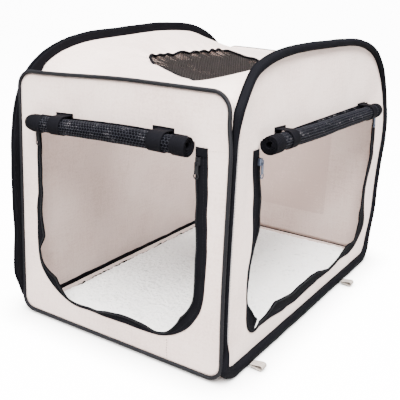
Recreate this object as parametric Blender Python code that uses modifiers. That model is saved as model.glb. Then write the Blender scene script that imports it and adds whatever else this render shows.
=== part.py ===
"""Pop-up fabric dog crate: two hooped side walls with soft panels between them.

The origin is on the ground at the middle of the crate. +X is its right side, seen from the
front door, -Y is the front and +Z is up. Each wall is built in the frame of its own face:
x runs along the face, -y points out of it and z runs up it.
"""
import math

import bmesh
import bpy
from mathutils import Matrix, Vector

# Overall sizes, in metres
WIDTH = 0.420
DEPTH = 0.650
WALL_HEIGHT = 0.450
LEAN = math.radians(1.8)
FABRIC = 0.0015
CLEAR = 0.0003

# Hoops and their binding
HOOP_REACH = 0.0245
HOOP_RISE = 0.052
HOOP_CORNER = 0.046
HOOP_BOW = 0.0145
CROWN_DROP = 0.211
CROWN_POWER = 3.65
BINDING_WIDTH = 0.014
BINDING_THICK = 0.010
BINDING_CHAMFER = 0.003
WIRE_RADIUS = 0.00175

# Front, back, roof and floor panels
PANEL_LIFT = 0.008
PANEL_TOP_CORNER = 0.030
PANEL_LOW_CORNER = 0.024
PIPING_RADIUS = 0.002
ROOF_SAG = 0.026
ROOF_POWER = 1.4
ROOF_EDGE_BLEND = 0.055
FLOOR_EDGE_BLEND = 0.022
FLOOR_RIM = 0.04
SEAM_INSET = 0.010

# Roof window
WINDOW_HALF_WIDTH = 0.115
WINDOW_HALF_LENGTH = 0.150
WINDOW_SETBACK = 0.045
WINDOW_CORNER = 0.045
WINDOW_LAP = 0.006
NET_ACROSS = 11
NET_ALONG = 12
NET_STRAND = 0.0022

# Back pocket
POCKET_WIDTH = 0.200
POCKET_HEIGHT = 0.225
POCKET_BOTTOM = 0.075
POCKET_CORNER = 0.012

# Doorways: the sizes of the zip tape's outer edge
FRONT_DOOR_MARGIN = 0.041
SIDE_DOOR_NEAR_MARGIN = 0.080
SIDE_DOOR_FAR_MARGIN = 0.025
FRONT_DOOR_BOTTOM = 0.049
SIDE_DOOR_BOTTOM = 0.042
FRONT_DOOR_CORNER = 0.105
SIDE_DOOR_CORNER = 0.075
FRONT_DOOR_DROP = 0.083
SIDE_DOOR_DROP = 0.096
FRONT_TAPE_WIDTH = 0.014
SIDE_TAPE_WIDTH = 0.018
TAPE_THICK = 0.0010
TAPE_LAP = 0.004
COIL_RADIUS = 0.0015

# Rolled doors
ROLL_RADIUS = 0.0135
ROLL_END_RADIUS = 0.016
ROLL_END_LENGTH = 0.024
ROLL_TAPER = 0.006
FRONT_ROLL_INSETS = (0.001, 0.018)
SIDE_ROLL_INSETS = (0.012, 0.048)
ROLL_RISE = 0.003
ROLL_OUT = 0.0195
ROLL_TURNS = 4.5
SHEET = 0.0016
SHEET_GAP = 0.0007
SEAM_TOP = 0.011
DOORWAY_DROP = 0.005

# Straps that hold a roll
STRAP_WIDTH = 0.024
STRAP_THICK = 0.0013
STRAP_GAP = 0.0006
STRAP_TOP = 0.0175
TAB_WIDTH = 0.035
TAB_HEIGHT = 0.0050
TAB_SHIFT = 0.0105
FRONT_STRAP_INSETS = (0.078, 0.067)
SIDE_STRAP_INSETS = (0.078, 0.100)

# Zip ends, sliders and pulls
END_WIDTH = 0.015
END_HEIGHT = 0.013
SLIDER_WIDTH = 0.008
SLIDER_HEIGHT = 0.011
SLIDER_WALL = 0.0016
SLIDER_PARK = 0.0065
ARCH_WIDTH = 0.0016
ARCH_THICK = 0.0012
ARCH_WINDOW = 0.0052
PULL_WIDTH = 0.0066
PULL_EYE = 0.0026
PULL_EYE_LENGTH = 0.0040
PULL_BAR = 0.0012
PULL_LENGTH = 0.0195
RING_RADIUS = 0.0046
RING_HOLE = 0.0032

# Mat and peg loops
MAT_BASE = 0.002
MAT_EDGE = 0.011
MAT_CROWN = 0.009
MAT_SIDE_GAP = 0.0105
MAT_END_GAP = 0.030
MAT_CORNER = 0.012
MAT_DRAW_IN = 0.003
LOOP_WIDTH = 0.015
LOOP_LENGTH = 0.0175
LOOP_RADIUS = 0.0050
LOOP_THICK = 0.0013
FRONT_LOOP_INSET = 0.078
BACK_LOOP_INSET = 0.180

# Sizes that follow from the ones above
HOOP_HALF = DEPTH / 2 + HOOP_REACH
HOOP_TOP = WALL_HEIGHT + HOOP_RISE
HOOP_BASE = HOOP_HALF - HOOP_BOW
CROWN_BASE = WALL_HEIGHT - CROWN_DROP
SHEET_END = DEPTH / 2 - FABRIC / 2 - PIPING_RADIUS - CLEAR
TAPE_FRONT = CLEAR + TAPE_THICK
COIL_OUT = TAPE_FRONT + CLEAR + COIL_RADIUS
STRAP_RADIUS = ROLL_RADIUS + STRAP_GAP + STRAP_THICK / 2
BASE_OUT = CLEAR + STRAP_THICK / 2
SEAM_OUT = CLEAR + STRAP_THICK + CLEAR + SHEET / 2
TAB_OUT = CLEAR + STRAP_THICK + CLEAR + STRAP_THICK / 2
SLIDER_BACK = TAPE_FRONT + CLEAR
SLIDER_FRONT = COIL_OUT + COIL_RADIUS + CLEAR + SLIDER_WALL
BAR_OUT = SLIDER_FRONT + CLEAR + 0.6 * PULL_BAR
ARCH_INNER = BAR_OUT + 0.6 * PULL_BAR + CLEAR
ARCH_OUTER = ARCH_INNER + ARCH_THICK

# Half of each outline is counted by these fractions of its length or of its angle
ROOF_COLUMNS = (0, 0.2, 0.4, 0.55, 0.67, 0.72, 0.77, 0.815, 0.86, 0.93, 1)
FLOOR_COLUMNS = (0, 0.3, 0.6, 0.8, 0.9, 0.93, 0.96, 0.98, 1)
SHEET_ROWS = (0, 0.16, 0.31, 0.46, 0.59, 0.7, 0.78, 0.84, 0.885, 0.925, 0.96, 1)

FABRIC_COLOUR = (0.75, 0.70, 0.67)
FLEECE_COLOUR = (0.84, 0.80, 0.75)
BLACK_COLOUR = (0.012, 0.012, 0.014)
MESH_COLOUR = (0.016, 0.018, 0.026)
METAL_COLOUR = (0.45, 0.47, 0.52)
WEBBING_COLOUR = (0.62, 0.60, 0.57)

# A face's plate lies in x and z of its face, and a cross plate in -y and z
FACE_PLANE = Matrix(((1, 0, 0), (0, 0, -1), (0, 1, 0))).to_4x4()
CROSS_PLANE = Matrix(((0, 0, -1), (-1, 0, 0), (0, 1, 0))).to_4x4()


def clear_scene():
    for item in list(bpy.data.objects):
        bpy.data.objects.remove(item, do_unlink=True)


def make_collection(name):
    found = bpy.data.collections.new(name)
    bpy.context.scene.collection.children.link(found)
    return found


clear_scene()
PARTS = make_collection("folding_dog_crate")
CUTTERS = make_collection("cutters")


def make_material(name, colour, roughness=0.9, metallic=0.0):
    material = bpy.data.materials.new(name)
    material.use_nodes = True
    shader = material.node_tree.nodes["Principled BSDF"]
    shader.inputs["Base Color"].default_value = (*colour, 1)
    shader.inputs["Roughness"].default_value = roughness
    shader.inputs["Metallic"].default_value = metallic
    return material


def add_object(name, data, colour, parent, metal=False):
    item = bpy.data.objects.new(name, data)
    PARTS.objects.link(item)
    item.parent = parent
    finish = make_material(name, colour, 0.35 if metal else 0.9, 1.0 if metal else 0.0)
    data.materials.append(finish)
    return item


def add_empty(name, parent=None, place=(0, 0, 0)):
    item = bpy.data.objects.new(name, None)
    PARTS.objects.link(item)
    item.parent = parent
    item.location = place
    return item


def add_face(name, place, turn, lean):
    """The frame of one wall: turned about the vertical, then leant inwards."""
    face = add_empty(name, None, place)
    face.matrix_local = Matrix.Translation(place) @ Matrix.Rotation(lean, 4, "Y") @ Matrix.Rotation(
        turn, 4, "Z"
    )
    return face


def poly_spline(curve, points, cyclic):
    spline = curve.splines.new("POLY")
    spline.points.add(len(points) - 1)
    for spot, point in zip(spline.points, points):
        spot.co = (*point, 1) if len(point) == 3 else (*point, 0, 1)
    spline.use_cyclic_u = cyclic


def tube(name, points, radius, colour, parent, cyclic=False, resolution=1):
    curve = bpy.data.curves.new(name, "CURVE")
    curve.dimensions = "3D"
    curve.bevel_depth = radius
    curve.bevel_resolution = resolution
    curve.use_fill_caps = not cyclic
    poly_spline(curve, points, cyclic)
    return add_object(name, curve, colour, parent)


def plate(name, loops, thickness, place, colour, parent, plane=FACE_PLANE, metal=False):
    """A flat piece cut from a sheet: the first loop is its outline, the others are holes."""
    curve = bpy.data.curves.new(name, "CURVE")
    curve.dimensions = "2D"
    curve.fill_mode = "BOTH"
    curve.extrude = thickness / 2
    for loop in loops:
        poly_spline(curve, loop, True)
    item = add_object(name, curve, colour, parent, metal)
    item.matrix_local = Matrix.Translation(place) @ plane
    return item


def plate_as_mesh(item):
    """Swap a plate's curve for a welded mesh, so that it can be cut or joined."""
    bpy.context.view_layer.update()
    graph = bpy.context.evaluated_depsgraph_get()
    mesh = bpy.data.meshes.new_from_object(item.evaluated_get(graph))
    shape = bmesh.new()
    shape.from_mesh(mesh)
    bmesh.ops.remove_doubles(shape, verts=shape.verts, dist=1e-6)
    shape.to_mesh(mesh)
    shape.free()
    name, parent, place = item.name, item.parent, item.matrix_world.copy()
    curve = item.data
    bpy.data.objects.remove(item)
    bpy.data.curves.remove(curve)
    solid = bpy.data.objects.new(name, mesh)
    PARTS.objects.link(solid)
    solid.parent = parent
    solid.matrix_world = place
    return solid


def combine(item, other, operation):
    """Join or cut a piece with another one, which becomes a hidden cutter."""
    PARTS.objects.unlink(other)
    CUTTERS.objects.link(other)
    other.hide_render = True
    other.display_type = "WIRE"
    change = item.modifiers.new(operation.lower(), "BOOLEAN")
    change.operation = operation
    change.object = other


def loft(name, rings, colour, parent, closed=False):
    """Skin rings of points that all have the same count, and cap the two ends."""
    shape = bmesh.new()
    rows = [[shape.verts.new(point) for point in ring] for ring in rings]
    count = len(rows[0])
    spans = len(rows) if closed else len(rows) - 1
    for index in range(spans):
        low, high = rows[index], rows[(index + 1) % len(rows)]
        for step in range(count):
            after = (step + 1) % count
            shape.faces.new((low[step], low[after], high[after], high[step]))
    if not closed:
        shape.faces.new(rows[0][::-1])
        shape.faces.new(rows[-1])
    bmesh.ops.recalc_face_normals(shape, faces=shape.faces)
    mesh = bpy.data.meshes.new(name)
    shape.to_mesh(mesh)
    shape.free()
    return add_object(name, mesh, colour, parent)


def mirrored(half):
    """Values from -1 to 1 out of the values from 0 to 1."""
    return [-value for value in half[:0:-1]] + list(half)


def open_up(shape, across, along):
    """Take out every second cell of a flat grid both ways, so that it is left as a net."""
    holes = []
    for face in shape.faces:
        middle = face.calc_center_median()
        column = int((middle.x + 1) / 2 * across)
        row = int((middle.y + 1) / 2 * along)
        if column % 2 and row % 2:
            holes.append(face)
    bmesh.ops.delete(shape, geom=holes, context="FACES_ONLY")


def sheet(name, columns, rows, point, thickness, colour, parent=None, netted=False):
    """A curved sheet: a grid whose points are placed by a rule, thickened on both sides."""
    shape = bmesh.new()
    bmesh.ops.create_grid(
        shape, x_segments=len(columns) - 1, y_segments=len(rows) - 1, size=1
    )
    if netted:
        open_up(shape, len(columns) - 1, len(rows) - 1)
    for vertex in shape.verts:
        across = columns[round((vertex.co.x + 1) / 2 * (len(columns) - 1))]
        along = rows[round((vertex.co.y + 1) / 2 * (len(rows) - 1))]
        vertex.co = point(across, along)
    mesh = bpy.data.meshes.new(name)
    shape.to_mesh(mesh)
    shape.free()
    item = add_object(name, mesh, colour, parent)
    solid = item.modifiers.new("thickness", "SOLIDIFY")
    solid.thickness = thickness
    solid.offset = 0
    return item


def arc(centre, radius, start, end, steps):
    """Points round an arc, from one angle to another in degrees."""
    points = []
    for step in range(steps + 1):
        angle = math.radians(start + (end - start) * step / steps)
        points.append((centre[0] + radius * math.cos(angle), centre[1] + radius * math.sin(angle)))
    return points


def rounded_rectangle(left, right, bottom, top, low_corner, high_corner, steps=5):
    return (
        arc((right - low_corner, bottom + low_corner), low_corner, -90, 0, steps)
        + arc((right - high_corner, top - high_corner), high_corner, 0, 90, steps)
        + arc((left + high_corner, top - high_corner), high_corner, 90, 180, steps)
        + arc((left + low_corner, bottom + low_corner), low_corner, 180, 270, steps)
    )


def normals(points, closed):
    """Unit normals of a flat path, to the right of its direction."""
    count = len(points)
    found = []
    for index in range(count):
        before = points[index - 1] if closed or index else points[0]
        after = points[(index + 1) % count] if closed or index < count - 1 else points[-1]
        run = Vector((after[0] - before[0], after[1] - before[1])).normalized()
        found.append((run.y, -run.x))
    return found


def shifted(points, amount, closed):
    return [
        (point[0] + normal[0] * amount, point[1] + normal[1] * amount)
        for point, normal in zip(points, normals(points, closed))
    ]


def ribbon(path, thickness):
    """The outline of a strip of cloth seen edge on, with its middle on the path."""
    return shifted(path, thickness / 2, False) + shifted(path, -thickness / 2, False)[::-1]


def side_inner(height):
    """How far the inner face of a side wall stands from the middle, at a height."""
    return WIDTH / 2 - height * math.tan(LEAN) - FABRIC / math.cos(LEAN)


def hoop_outline(inset):
    """The closed outline of a hoop in its own face, set in from its outer edge."""
    half = [(0, 0), ((HOOP_BASE - HOOP_CORNER) / 2, 0)]
    half += arc((HOOP_BASE - HOOP_CORNER, HOOP_CORNER), HOOP_CORNER, -90, 0, 5)
    for step in (1, 2, 3):
        left_over = 1 - step / 3
        height = CROWN_BASE - left_over * (CROWN_BASE - HOOP_CORNER)
        half.append((HOOP_HALF - HOOP_BOW * left_over**2, height))
    for step in range(1, 13):
        angle = math.radians(7.5 * step)
        across = HOOP_HALF * abs(math.cos(angle)) ** (2 / CROWN_POWER)
        rise = (HOOP_TOP - CROWN_BASE) * math.sin(angle) ** (2 / CROWN_POWER)
        half.append((across if step < 12 else 0, CROWN_BASE + rise))
    outline = half + [(-across, height) for across, height in half[-2:0:-1]]
    return shifted(outline, -inset, True)


def hoop_high(along):
    """Height of the roof's seam on a side wall, at a place along the crate."""
    reach = HOOP_HALF - SEAM_INSET
    share = max(0.0, 1 - min(1.0, abs(along) / reach) ** CROWN_POWER)
    return CROWN_BASE + (HOOP_TOP - SEAM_INSET - CROWN_BASE) * share ** (1 / CROWN_POWER)


def hoop_low(along):
    """Height of the floor's seam on a side wall, at a place along the crate."""
    radius = HOOP_CORNER - SEAM_INSET
    past = max(0.0, abs(along) - (HOOP_BASE - HOOP_CORNER))
    return HOOP_CORNER - math.sqrt(max(0.0, radius**2 - past**2))


def panel_loop(inset):
    """The outline of the front or back panel, narrower at the top as the sides lean in."""
    edge = side_inner(0) - CLEAR - inset
    flat = rounded_rectangle(
        -edge,
        edge,
        PANEL_LIFT + inset,
        WALL_HEIGHT - inset,
        PANEL_LOW_CORNER - inset,
        PANEL_TOP_CORNER - inset,
    )
    taper = math.tan(LEAN) / edge
    return [(across * (1 - taper * height), height) for across, height in flat]


def seam_half(top):
    """The piping's path from the middle of the panel out to the side wall's seam."""
    loop = [point for point in panel_loop(PIPING_RADIUS) if point[0] > 0]
    if top:
        end = hoop_high(SHEET_END)
        run = [point for point in loop if point[1] > end][::-1]
        middle = (0, WALL_HEIGHT - PIPING_RADIUS)
    else:
        end = hoop_low(SHEET_END)
        run = [point for point in loop if point[1] < end]
        middle = (0, PANEL_LIFT + PIPING_RADIUS)
    return [middle] + run + [(side_inner(end) - PIPING_RADIUS - CLEAR, end)]


def point_along(path, share):
    """The point at a share of a path's length."""
    lengths = [math.dist(path[i], path[i + 1]) for i in range(len(path) - 1)]
    left = share * sum(lengths)
    for index, length in enumerate(lengths):
        if left <= length or index == len(lengths) - 1:
            step = min(1.0, left / length)
            start, end = path[index], path[index + 1]
            return (start[0] + (end[0] - start[0]) * step, start[1] + (end[1] - start[1]) * step)
        left -= length
    return path[-1]


def smooth(value):
    value = min(1.0, max(0.0, value))
    return value * value * (3 - 2 * value)


ROOF_SEAM = seam_half(True)
FLOOR_SEAM = seam_half(False)


def drawn_to_seam(across, along, spread, blend, seam):
    """A sheet's point, led over to the piping of the front and back as it nears them."""
    height = spread(across, along)
    weight = smooth((abs(along) - (SHEET_END - blend)) / blend)
    target = point_along(seam, abs(across))
    aside = math.copysign(target[0], across) if across else 0.0
    x = across * (side_inner(height) - 3 * CLEAR)
    return Vector((x + weight * (aside - x), along, height + weight * (target[1] - height)))


def roof_height(across, along):
    middle = WALL_HEIGHT - PIPING_RADIUS - ROOF_SAG * (1 - (along / SHEET_END) ** 2)
    return middle + (hoop_high(along) - middle) * abs(across) ** ROOF_POWER


def floor_height(across, along):
    rise = max(0.0, (abs(across) - (1 - FLOOR_RIM)) / FLOOR_RIM)
    return FABRIC / 2 + (hoop_low(along) - FABRIC / 2) * rise**2


def roof_point(across, along):
    return drawn_to_seam(across, along, roof_height, ROOF_EDGE_BLEND, ROOF_SEAM)


def floor_point(across, along):
    return drawn_to_seam(across, along, floor_height, FLOOR_EDGE_BLEND, FLOOR_SEAM)


def roof_over(x, y):
    """Height of the roof's middle surface over a point of the ground."""
    height = WALL_HEIGHT
    for _ in range(6):
        height = roof_height(x / side_inner(height), y)
    return height


def build_hoop(side, face):
    """The tape binding of one side wall, open towards the wall, and the wire inside it."""
    path = hoop_outline(BINDING_WIDTH / 2)
    half = BINDING_WIDTH / 2
    slot = WIRE_RADIUS + CLEAR
    back = CLEAR + BINDING_THICK
    wire_out = back - BINDING_CHAMFER - WIRE_RADIUS
    section = [
        (-half, CLEAR),
        (-half, back - BINDING_CHAMFER),
        (-half + BINDING_CHAMFER, back),
        (half - BINDING_CHAMFER, back),
        (half, back - BINDING_CHAMFER),
        (half, CLEAR),
        (slot, CLEAR),
        (slot, wire_out + slot),
        (-slot, wire_out + slot),
        (-slot, CLEAR),
    ]
    rings = [
        [(spot[0] + way[0] * step, -out, spot[1] + way[1] * step) for step, out in section]
        for spot, way in zip(path, normals(path, True))
    ]
    loft(f"{side}_hoop_binding", rings, BLACK_COLOUR, face, closed=True)
    wire = [(across, -wire_out, height) for across, height in path]
    tube(f"{side}_hoop_wire", wire, WIRE_RADIUS, METAL_COLOUR, face, cyclic=True)


def doorway_path(door, inset, top):
    """From the top left of a doorway down, round the bottom and up to the top right."""
    half = door["half"] - inset
    corner = door["corner"] - inset
    bottom = door["bottom"] + inset
    left, right = door["centre"] - half, door["centre"] + half
    return (
        [(left, top)]
        + arc((left + corner, bottom + corner), corner, 180, 270, 6)
        + arc((right - corner, bottom + corner), corner, 270, 360, 6)
        + [(right, top)]
    )


def wall_panel(name, outline, face, door=None):
    loops = [outline]
    if door:
        loops.append(doorway_path(door, TAPE_LAP, door["top"] - DOORWAY_DROP))
    plate(name, loops, FABRIC, (0, FABRIC / 2, 0), FABRIC_COLOUR, face)


def build_zip_tape(door, face):
    top = door["top"]
    outline = doorway_path(door, 0, top) + doorway_path(door, door["tape"], top)[::-1]
    place = (0, -CLEAR - TAPE_THICK / 2, 0)
    plate(f"{door['name']}_zip_tape", [outline], TAPE_THICK, place, BLACK_COLOUR, face)
    path = doorway_path(door, door["tape"] - COIL_RADIUS, top - END_HEIGHT - CLEAR)
    points = [(across, -COIL_OUT, height) for across, height in path]
    tube(f"{door['name']}_zip_coil", points, COIL_RADIUS, BLACK_COLOUR, face)


def roll_section(radius, centre_height):
    """Edge-on outline of a door that is rolled up, up to its seam on the wall."""
    pitch = SHEET + SHEET_GAP
    steps = round(ROLL_TURNS * 14)
    path = []
    for step in range(steps + 1):
        turned = ROLL_TURNS * step / steps
        away = radius - SHEET / 2 - pitch * (ROLL_TURNS - turned)
        angle = math.pi + 2 * math.pi * (ROLL_TURNS - turned)
        path.append((ROLL_OUT + away * math.cos(angle), centre_height + away * math.sin(angle)))
    back = ROLL_OUT - radius + SHEET / 2
    path.append((back * 0.85 + SEAM_OUT * 0.15, centre_height + 0.35 * SEAM_TOP))
    path.append((back * 0.25 + SEAM_OUT * 0.75, centre_height + 0.65 * SEAM_TOP))
    path.append((SEAM_OUT, centre_height + 0.85 * SEAM_TOP))
    path.append((SEAM_OUT, centre_height + SEAM_TOP))
    return ribbon(path, SHEET)


def build_roll(door, face):
    """The mesh door rolled up above its doorway, thicker where its bound edges roll up."""
    start = door["centre"] - door["half"] + door["roll"][0]
    end = door["centre"] + door["half"] - door["roll"][1]
    thick, thin = ROLL_END_RADIUS, ROLL_RADIUS
    stations = [
        (start, thick),
        (start + ROLL_END_LENGTH, thick),
        (start + ROLL_END_LENGTH + ROLL_TAPER, thin),
        (end - ROLL_END_LENGTH - ROLL_TAPER, thin),
        (end - ROLL_END_LENGTH, thick),
        (end, thick),
    ]
    height = door["top"] + ROLL_RISE
    rings = [
        [(across, -out, level) for out, level in roll_section(radius, height)]
        for across, radius in stations
    ]
    loft(f"{door['name']}_door_roll", rings, MESH_COLOUR, face)


def build_strap(door, place, label, face):
    """A strap base sewn behind the roll, and the strap that hooks onto its top."""
    height = door["top"] + ROLL_RISE
    centre = (ROLL_OUT, height)
    base = [(BASE_OUT, height + STRAP_TOP), (BASE_OUT, height - 0.3 * STRAP_RADIUS)]
    base += arc(centre, STRAP_RADIUS, 222, 266, 4)
    plate(
        f"{door['name']}_strap_base_{label}",
        [ribbon(base, STRAP_THICK)],
        STRAP_WIDTH,
        (place, 0, 0),
        BLACK_COLOUR,
        face,
        CROSS_PLANE,
    )
    hinge = (place, -ROLL_OUT, height - STRAP_RADIUS)
    pivot = add_empty(f"{door['name']}_strap_pivot_{label}", face, hinge)
    over = STRAP_RADIUS
    path = arc((0, over), over, 273, 450, 12)
    path.append((TAB_OUT - ROLL_OUT + 0.0020, 2 * over))
    path.append((TAB_OUT - ROLL_OUT + 0.0004, 2 * over + 0.0008))
    path.append((TAB_OUT - ROLL_OUT, 2 * over + 0.0024))
    path.append((TAB_OUT - ROLL_OUT, STRAP_TOP + over))
    strap = plate(
        f"{door['name']}_strap_{label}",
        [ribbon(path, STRAP_THICK)],
        STRAP_WIDTH,
        (0, 0, 0),
        BLACK_COLOUR,
        pivot,
        CROSS_PLANE,
    )
    top = STRAP_TOP + over
    tab = plate(
        f"{door['name']}_tab_{label}",
        [rounded_rectangle(-TAB_WIDTH / 2, TAB_WIDTH / 2, top - TAB_HEIGHT, top + CLEAR, 0.001, 0.001, 1)],
        STRAP_THICK + CLEAR,
        (door["tab"], ROLL_OUT - TAB_OUT - CLEAR / 3, 0),
        BLACK_COLOUR,
        pivot,
    )
    combine(plate_as_mesh(strap), plate_as_mesh(tab), "UNION")


def build_zip_end(name, across, top, parent):
    """The folded tape end at the top of a zip."""
    outline = rounded_rectangle(
        -END_WIDTH / 2, END_WIDTH / 2, top - END_HEIGHT, top, 0.001, 0.001, 1
    )
    out = TAPE_FRONT + CLEAR + TAPE_THICK / 2
    carrier = add_empty(f"{name}_carrier", parent, (across, 0, 0))
    plate(name, [outline], TAPE_THICK, (0, -out, 0), BLACK_COLOUR, carrier)
    return carrier


def build_slider(name, place, parent, colour):
    """A zip slider that straddles the coil, with the arch that carries its pull."""
    centre = add_empty(f"{name}_centre", parent, place)
    half, tall = SLIDER_WIDTH / 2, SLIDER_HEIGHT / 2
    channel = COIL_RADIUS + CLEAR
    section = [
        (-half, SLIDER_BACK),
        (-half, SLIDER_FRONT - 0.0012),
        (-half + 0.0012, SLIDER_FRONT),
        (half - 0.0012, SLIDER_FRONT),
        (half, SLIDER_FRONT - 0.0012),
        (half, SLIDER_BACK),
        (channel, SLIDER_BACK),
        (channel, SLIDER_FRONT - SLIDER_WALL),
        (-channel, SLIDER_FRONT - SLIDER_WALL),
        (-channel, SLIDER_BACK),
    ]
    rings = [
        [(across * narrow, -out, height) for across, out in section]
        for height, narrow in ((-tall, 1.0), (tall, 1.0))
    ]
    body = loft(name, rings, colour, centre)
    reach = ARCH_WINDOW / 2 + ARCH_THICK
    outer = [
        (SLIDER_FRONT - SLIDER_WALL / 2, -reach),
        (ARCH_OUTER - 0.0006, -reach),
        (ARCH_OUTER, -reach + 0.0006),
        (ARCH_OUTER, reach - 0.0006),
        (ARCH_OUTER - 0.0006, reach),
        (SLIDER_FRONT - SLIDER_WALL / 2, reach),
    ]
    window = ARCH_WINDOW / 2
    outer += [
        (SLIDER_FRONT - SLIDER_WALL / 2, window),
        (ARCH_INNER, window),
        (ARCH_INNER, -window),
        (SLIDER_FRONT - SLIDER_WALL / 2, -window),
    ]
    arch = plate(
        f"{name}_arch", [outer], ARCH_WIDTH, (0, 0, 0), colour, centre, CROSS_PLANE, True
    )
    combine(body, plate_as_mesh(arch), "UNION")
    return centre


def build_pull(name, parent, colour):
    """A flat zip pull that hangs from the slider's arch by its top bar and ends in a ring."""
    drop = ARCH_WINDOW / 2 - PULL_BAR / 2 - CLEAR
    pivot = add_empty(f"{name}_pivot", parent, (0, -BAR_OUT, -drop))
    half, eye, bar = PULL_WIDTH / 2, PULL_EYE / 2, PULL_BAR / 2
    ring = (0, -PULL_LENGTH)
    lean_out = arc(ring, RING_RADIUS, 140, 400, 12)
    outline = [(half, bar), (-half, bar)] + [(-half, -0.6 * PULL_LENGTH)]
    outline += lean_out + [(half, -0.6 * PULL_LENGTH)]
    hole = [(-eye, -bar), (eye, -bar), (eye, -bar - PULL_EYE_LENGTH), (-eye, -bar - PULL_EYE_LENGTH)]
    loops = [outline, hole, arc(ring, RING_HOLE, 0, 330, 11)]
    plate(name, loops, PULL_BAR, (0, 0, 0), colour, pivot, FACE_PLANE, True)


def build_door_kit(door, face):
    """The zip, the rolled door and the straps of one doorway."""
    build_zip_tape(door, face)
    build_roll(door, face)
    for label, place in door["straps"]:
        build_strap(door, place, label, face)
    run = door["half"] - door["tape"] + COIL_RADIUS
    park = door["top"] - END_HEIGHT - SLIDER_PARK
    for label, sign, colour in door["sliders"]:
        across = door["centre"] + sign * run
        end_place = door["centre"] + sign * (door["half"] - END_WIDTH / 2 + CLEAR)
        carrier = build_zip_end(
            f"{door['name']}_zip_end_{label}", end_place, door["top"], face
        )
        slider = build_slider(
            f"{door['name']}_zip_slider_{label}", (across - end_place, 0, park), carrier, colour
        )
        build_pull(f"{door['name']}_zip_pull_{label}", slider, colour)


def build_peg_loop(name, place, face):
    """A webbing loop that lies on the ground beside a hoop and takes a tent peg."""
    neck = LOOP_THICK + CLEAR
    root = CLEAR + BINDING_THICK + CLEAR + neck
    level = LOOP_RADIUS + CLEAR
    pivot = add_empty(f"{name}_pivot", face, (place, -root, level))
    end = (LOOP_LENGTH, 0)
    inner = LOOP_RADIUS - LOOP_THICK
    outline = arc((0, 0), neck, 90, 270, 6) + arc(end, LOOP_RADIUS, -100, 100, 8)
    hole = [(0.45 * LOOP_LENGTH, 0)] + arc(end, inner, -100, 100, 7)
    plate(name, [outline, hole], LOOP_WIDTH, (0, 0, 0), WEBBING_COLOUR, pivot, CROSS_PLANE)


def build_end_panel(name, face, door=None):
    """The front or back panel and the piping round its edge."""
    wall_panel(f"{name}_panel", panel_loop(2 * PIPING_RADIUS + CLEAR), face, door)
    path = [(across, FABRIC / 2, height) for across, height in panel_loop(PIPING_RADIUS)]
    tube(f"{name}_piping", path, PIPING_RADIUS, BLACK_COLOUR, face, cyclic=True)


def build_pocket(face):
    loop = rounded_rectangle(
        -POCKET_WIDTH / 2,
        POCKET_WIDTH / 2,
        POCKET_BOTTOM,
        POCKET_BOTTOM + POCKET_HEIGHT,
        POCKET_CORNER,
        POCKET_CORNER,
        3,
    )
    plate("back_pocket", [loop], FABRIC, (0, -CLEAR - FABRIC / 2, 0), FABRIC_COLOUR, face)


def window_loop(inset, steps=5):
    half, corner = WINDOW_HALF_WIDTH - inset, WINDOW_CORNER - inset
    near = WINDOW_SETBACK - WINDOW_HALF_LENGTH + inset
    far = WINDOW_SETBACK + WINDOW_HALF_LENGTH - inset
    return rounded_rectangle(-half, half, near, far, corner, corner, steps)


def net_lines(half, holes):
    """Where the strands of a window's net begin and end, from one hidden edge to the other."""
    inner = half - NET_STRAND
    pitch = (2 * inner + NET_STRAND) / holes
    lines = [-half - WINDOW_LAP]
    for step in range(holes):
        lines += [step * pitch - inner, (step + 1) * pitch - NET_STRAND - inner]
    return lines + [half + WINDOW_LAP]


def build_roof():
    """The sagging roof, its mesh window and the window's binding."""
    rows = [share * SHEET_END for share in mirrored(SHEET_ROWS)]
    roof = sheet("roof_panel", mirrored(ROOF_COLUMNS), rows, roof_point, FABRIC, FABRIC_COLOUR)
    cutter = plate(
        "window_cutter",
        [window_loop(-PIPING_RADIUS - CLEAR)],
        WALL_HEIGHT / 2,
        (0, 0, WALL_HEIGHT),
        BLACK_COLOUR,
        None,
        Matrix.Identity(4),
    )
    combine(roof, plate_as_mesh(cutter), "DIFFERENCE")
    loop = window_loop(0)
    mids = []
    for index, spot in enumerate(loop):
        after = loop[(index + 1) % len(loop)]
        mids.append(spot)
        if math.dist(spot, after) > WINDOW_CORNER:
            mids += [point_along([spot, after], share) for share in (0.25, 0.5, 0.75)]
    path = [(x, y, roof_over(x, y)) for x, y in mids]
    tube("roof_window_binding", path, PIPING_RADIUS, BLACK_COLOUR, None, cyclic=True)
    across = net_lines(WINDOW_HALF_WIDTH, NET_ACROSS)
    along = [WINDOW_SETBACK + place for place in net_lines(WINDOW_HALF_LENGTH, NET_ALONG)]
    drop = PIPING_RADIUS + 2.5 * CLEAR + FABRIC / 2

    def under_roof(x, y):
        return Vector((x, y, roof_over(x, y) - drop))

    sheet("roof_window_mesh", across, along, under_roof, FABRIC, MESH_COLOUR, netted=True)


def build_floor():
    rows = [share * SHEET_END for share in mirrored(SHEET_ROWS)]
    sheet("floor_panel", mirrored(FLOOR_COLUMNS), rows, floor_point, FABRIC, FABRIC_COLOUR)


def mat_half_sizes():
    return side_inner(0) - MAT_SIDE_GAP, DEPTH / 2 - MAT_END_GAP


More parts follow.
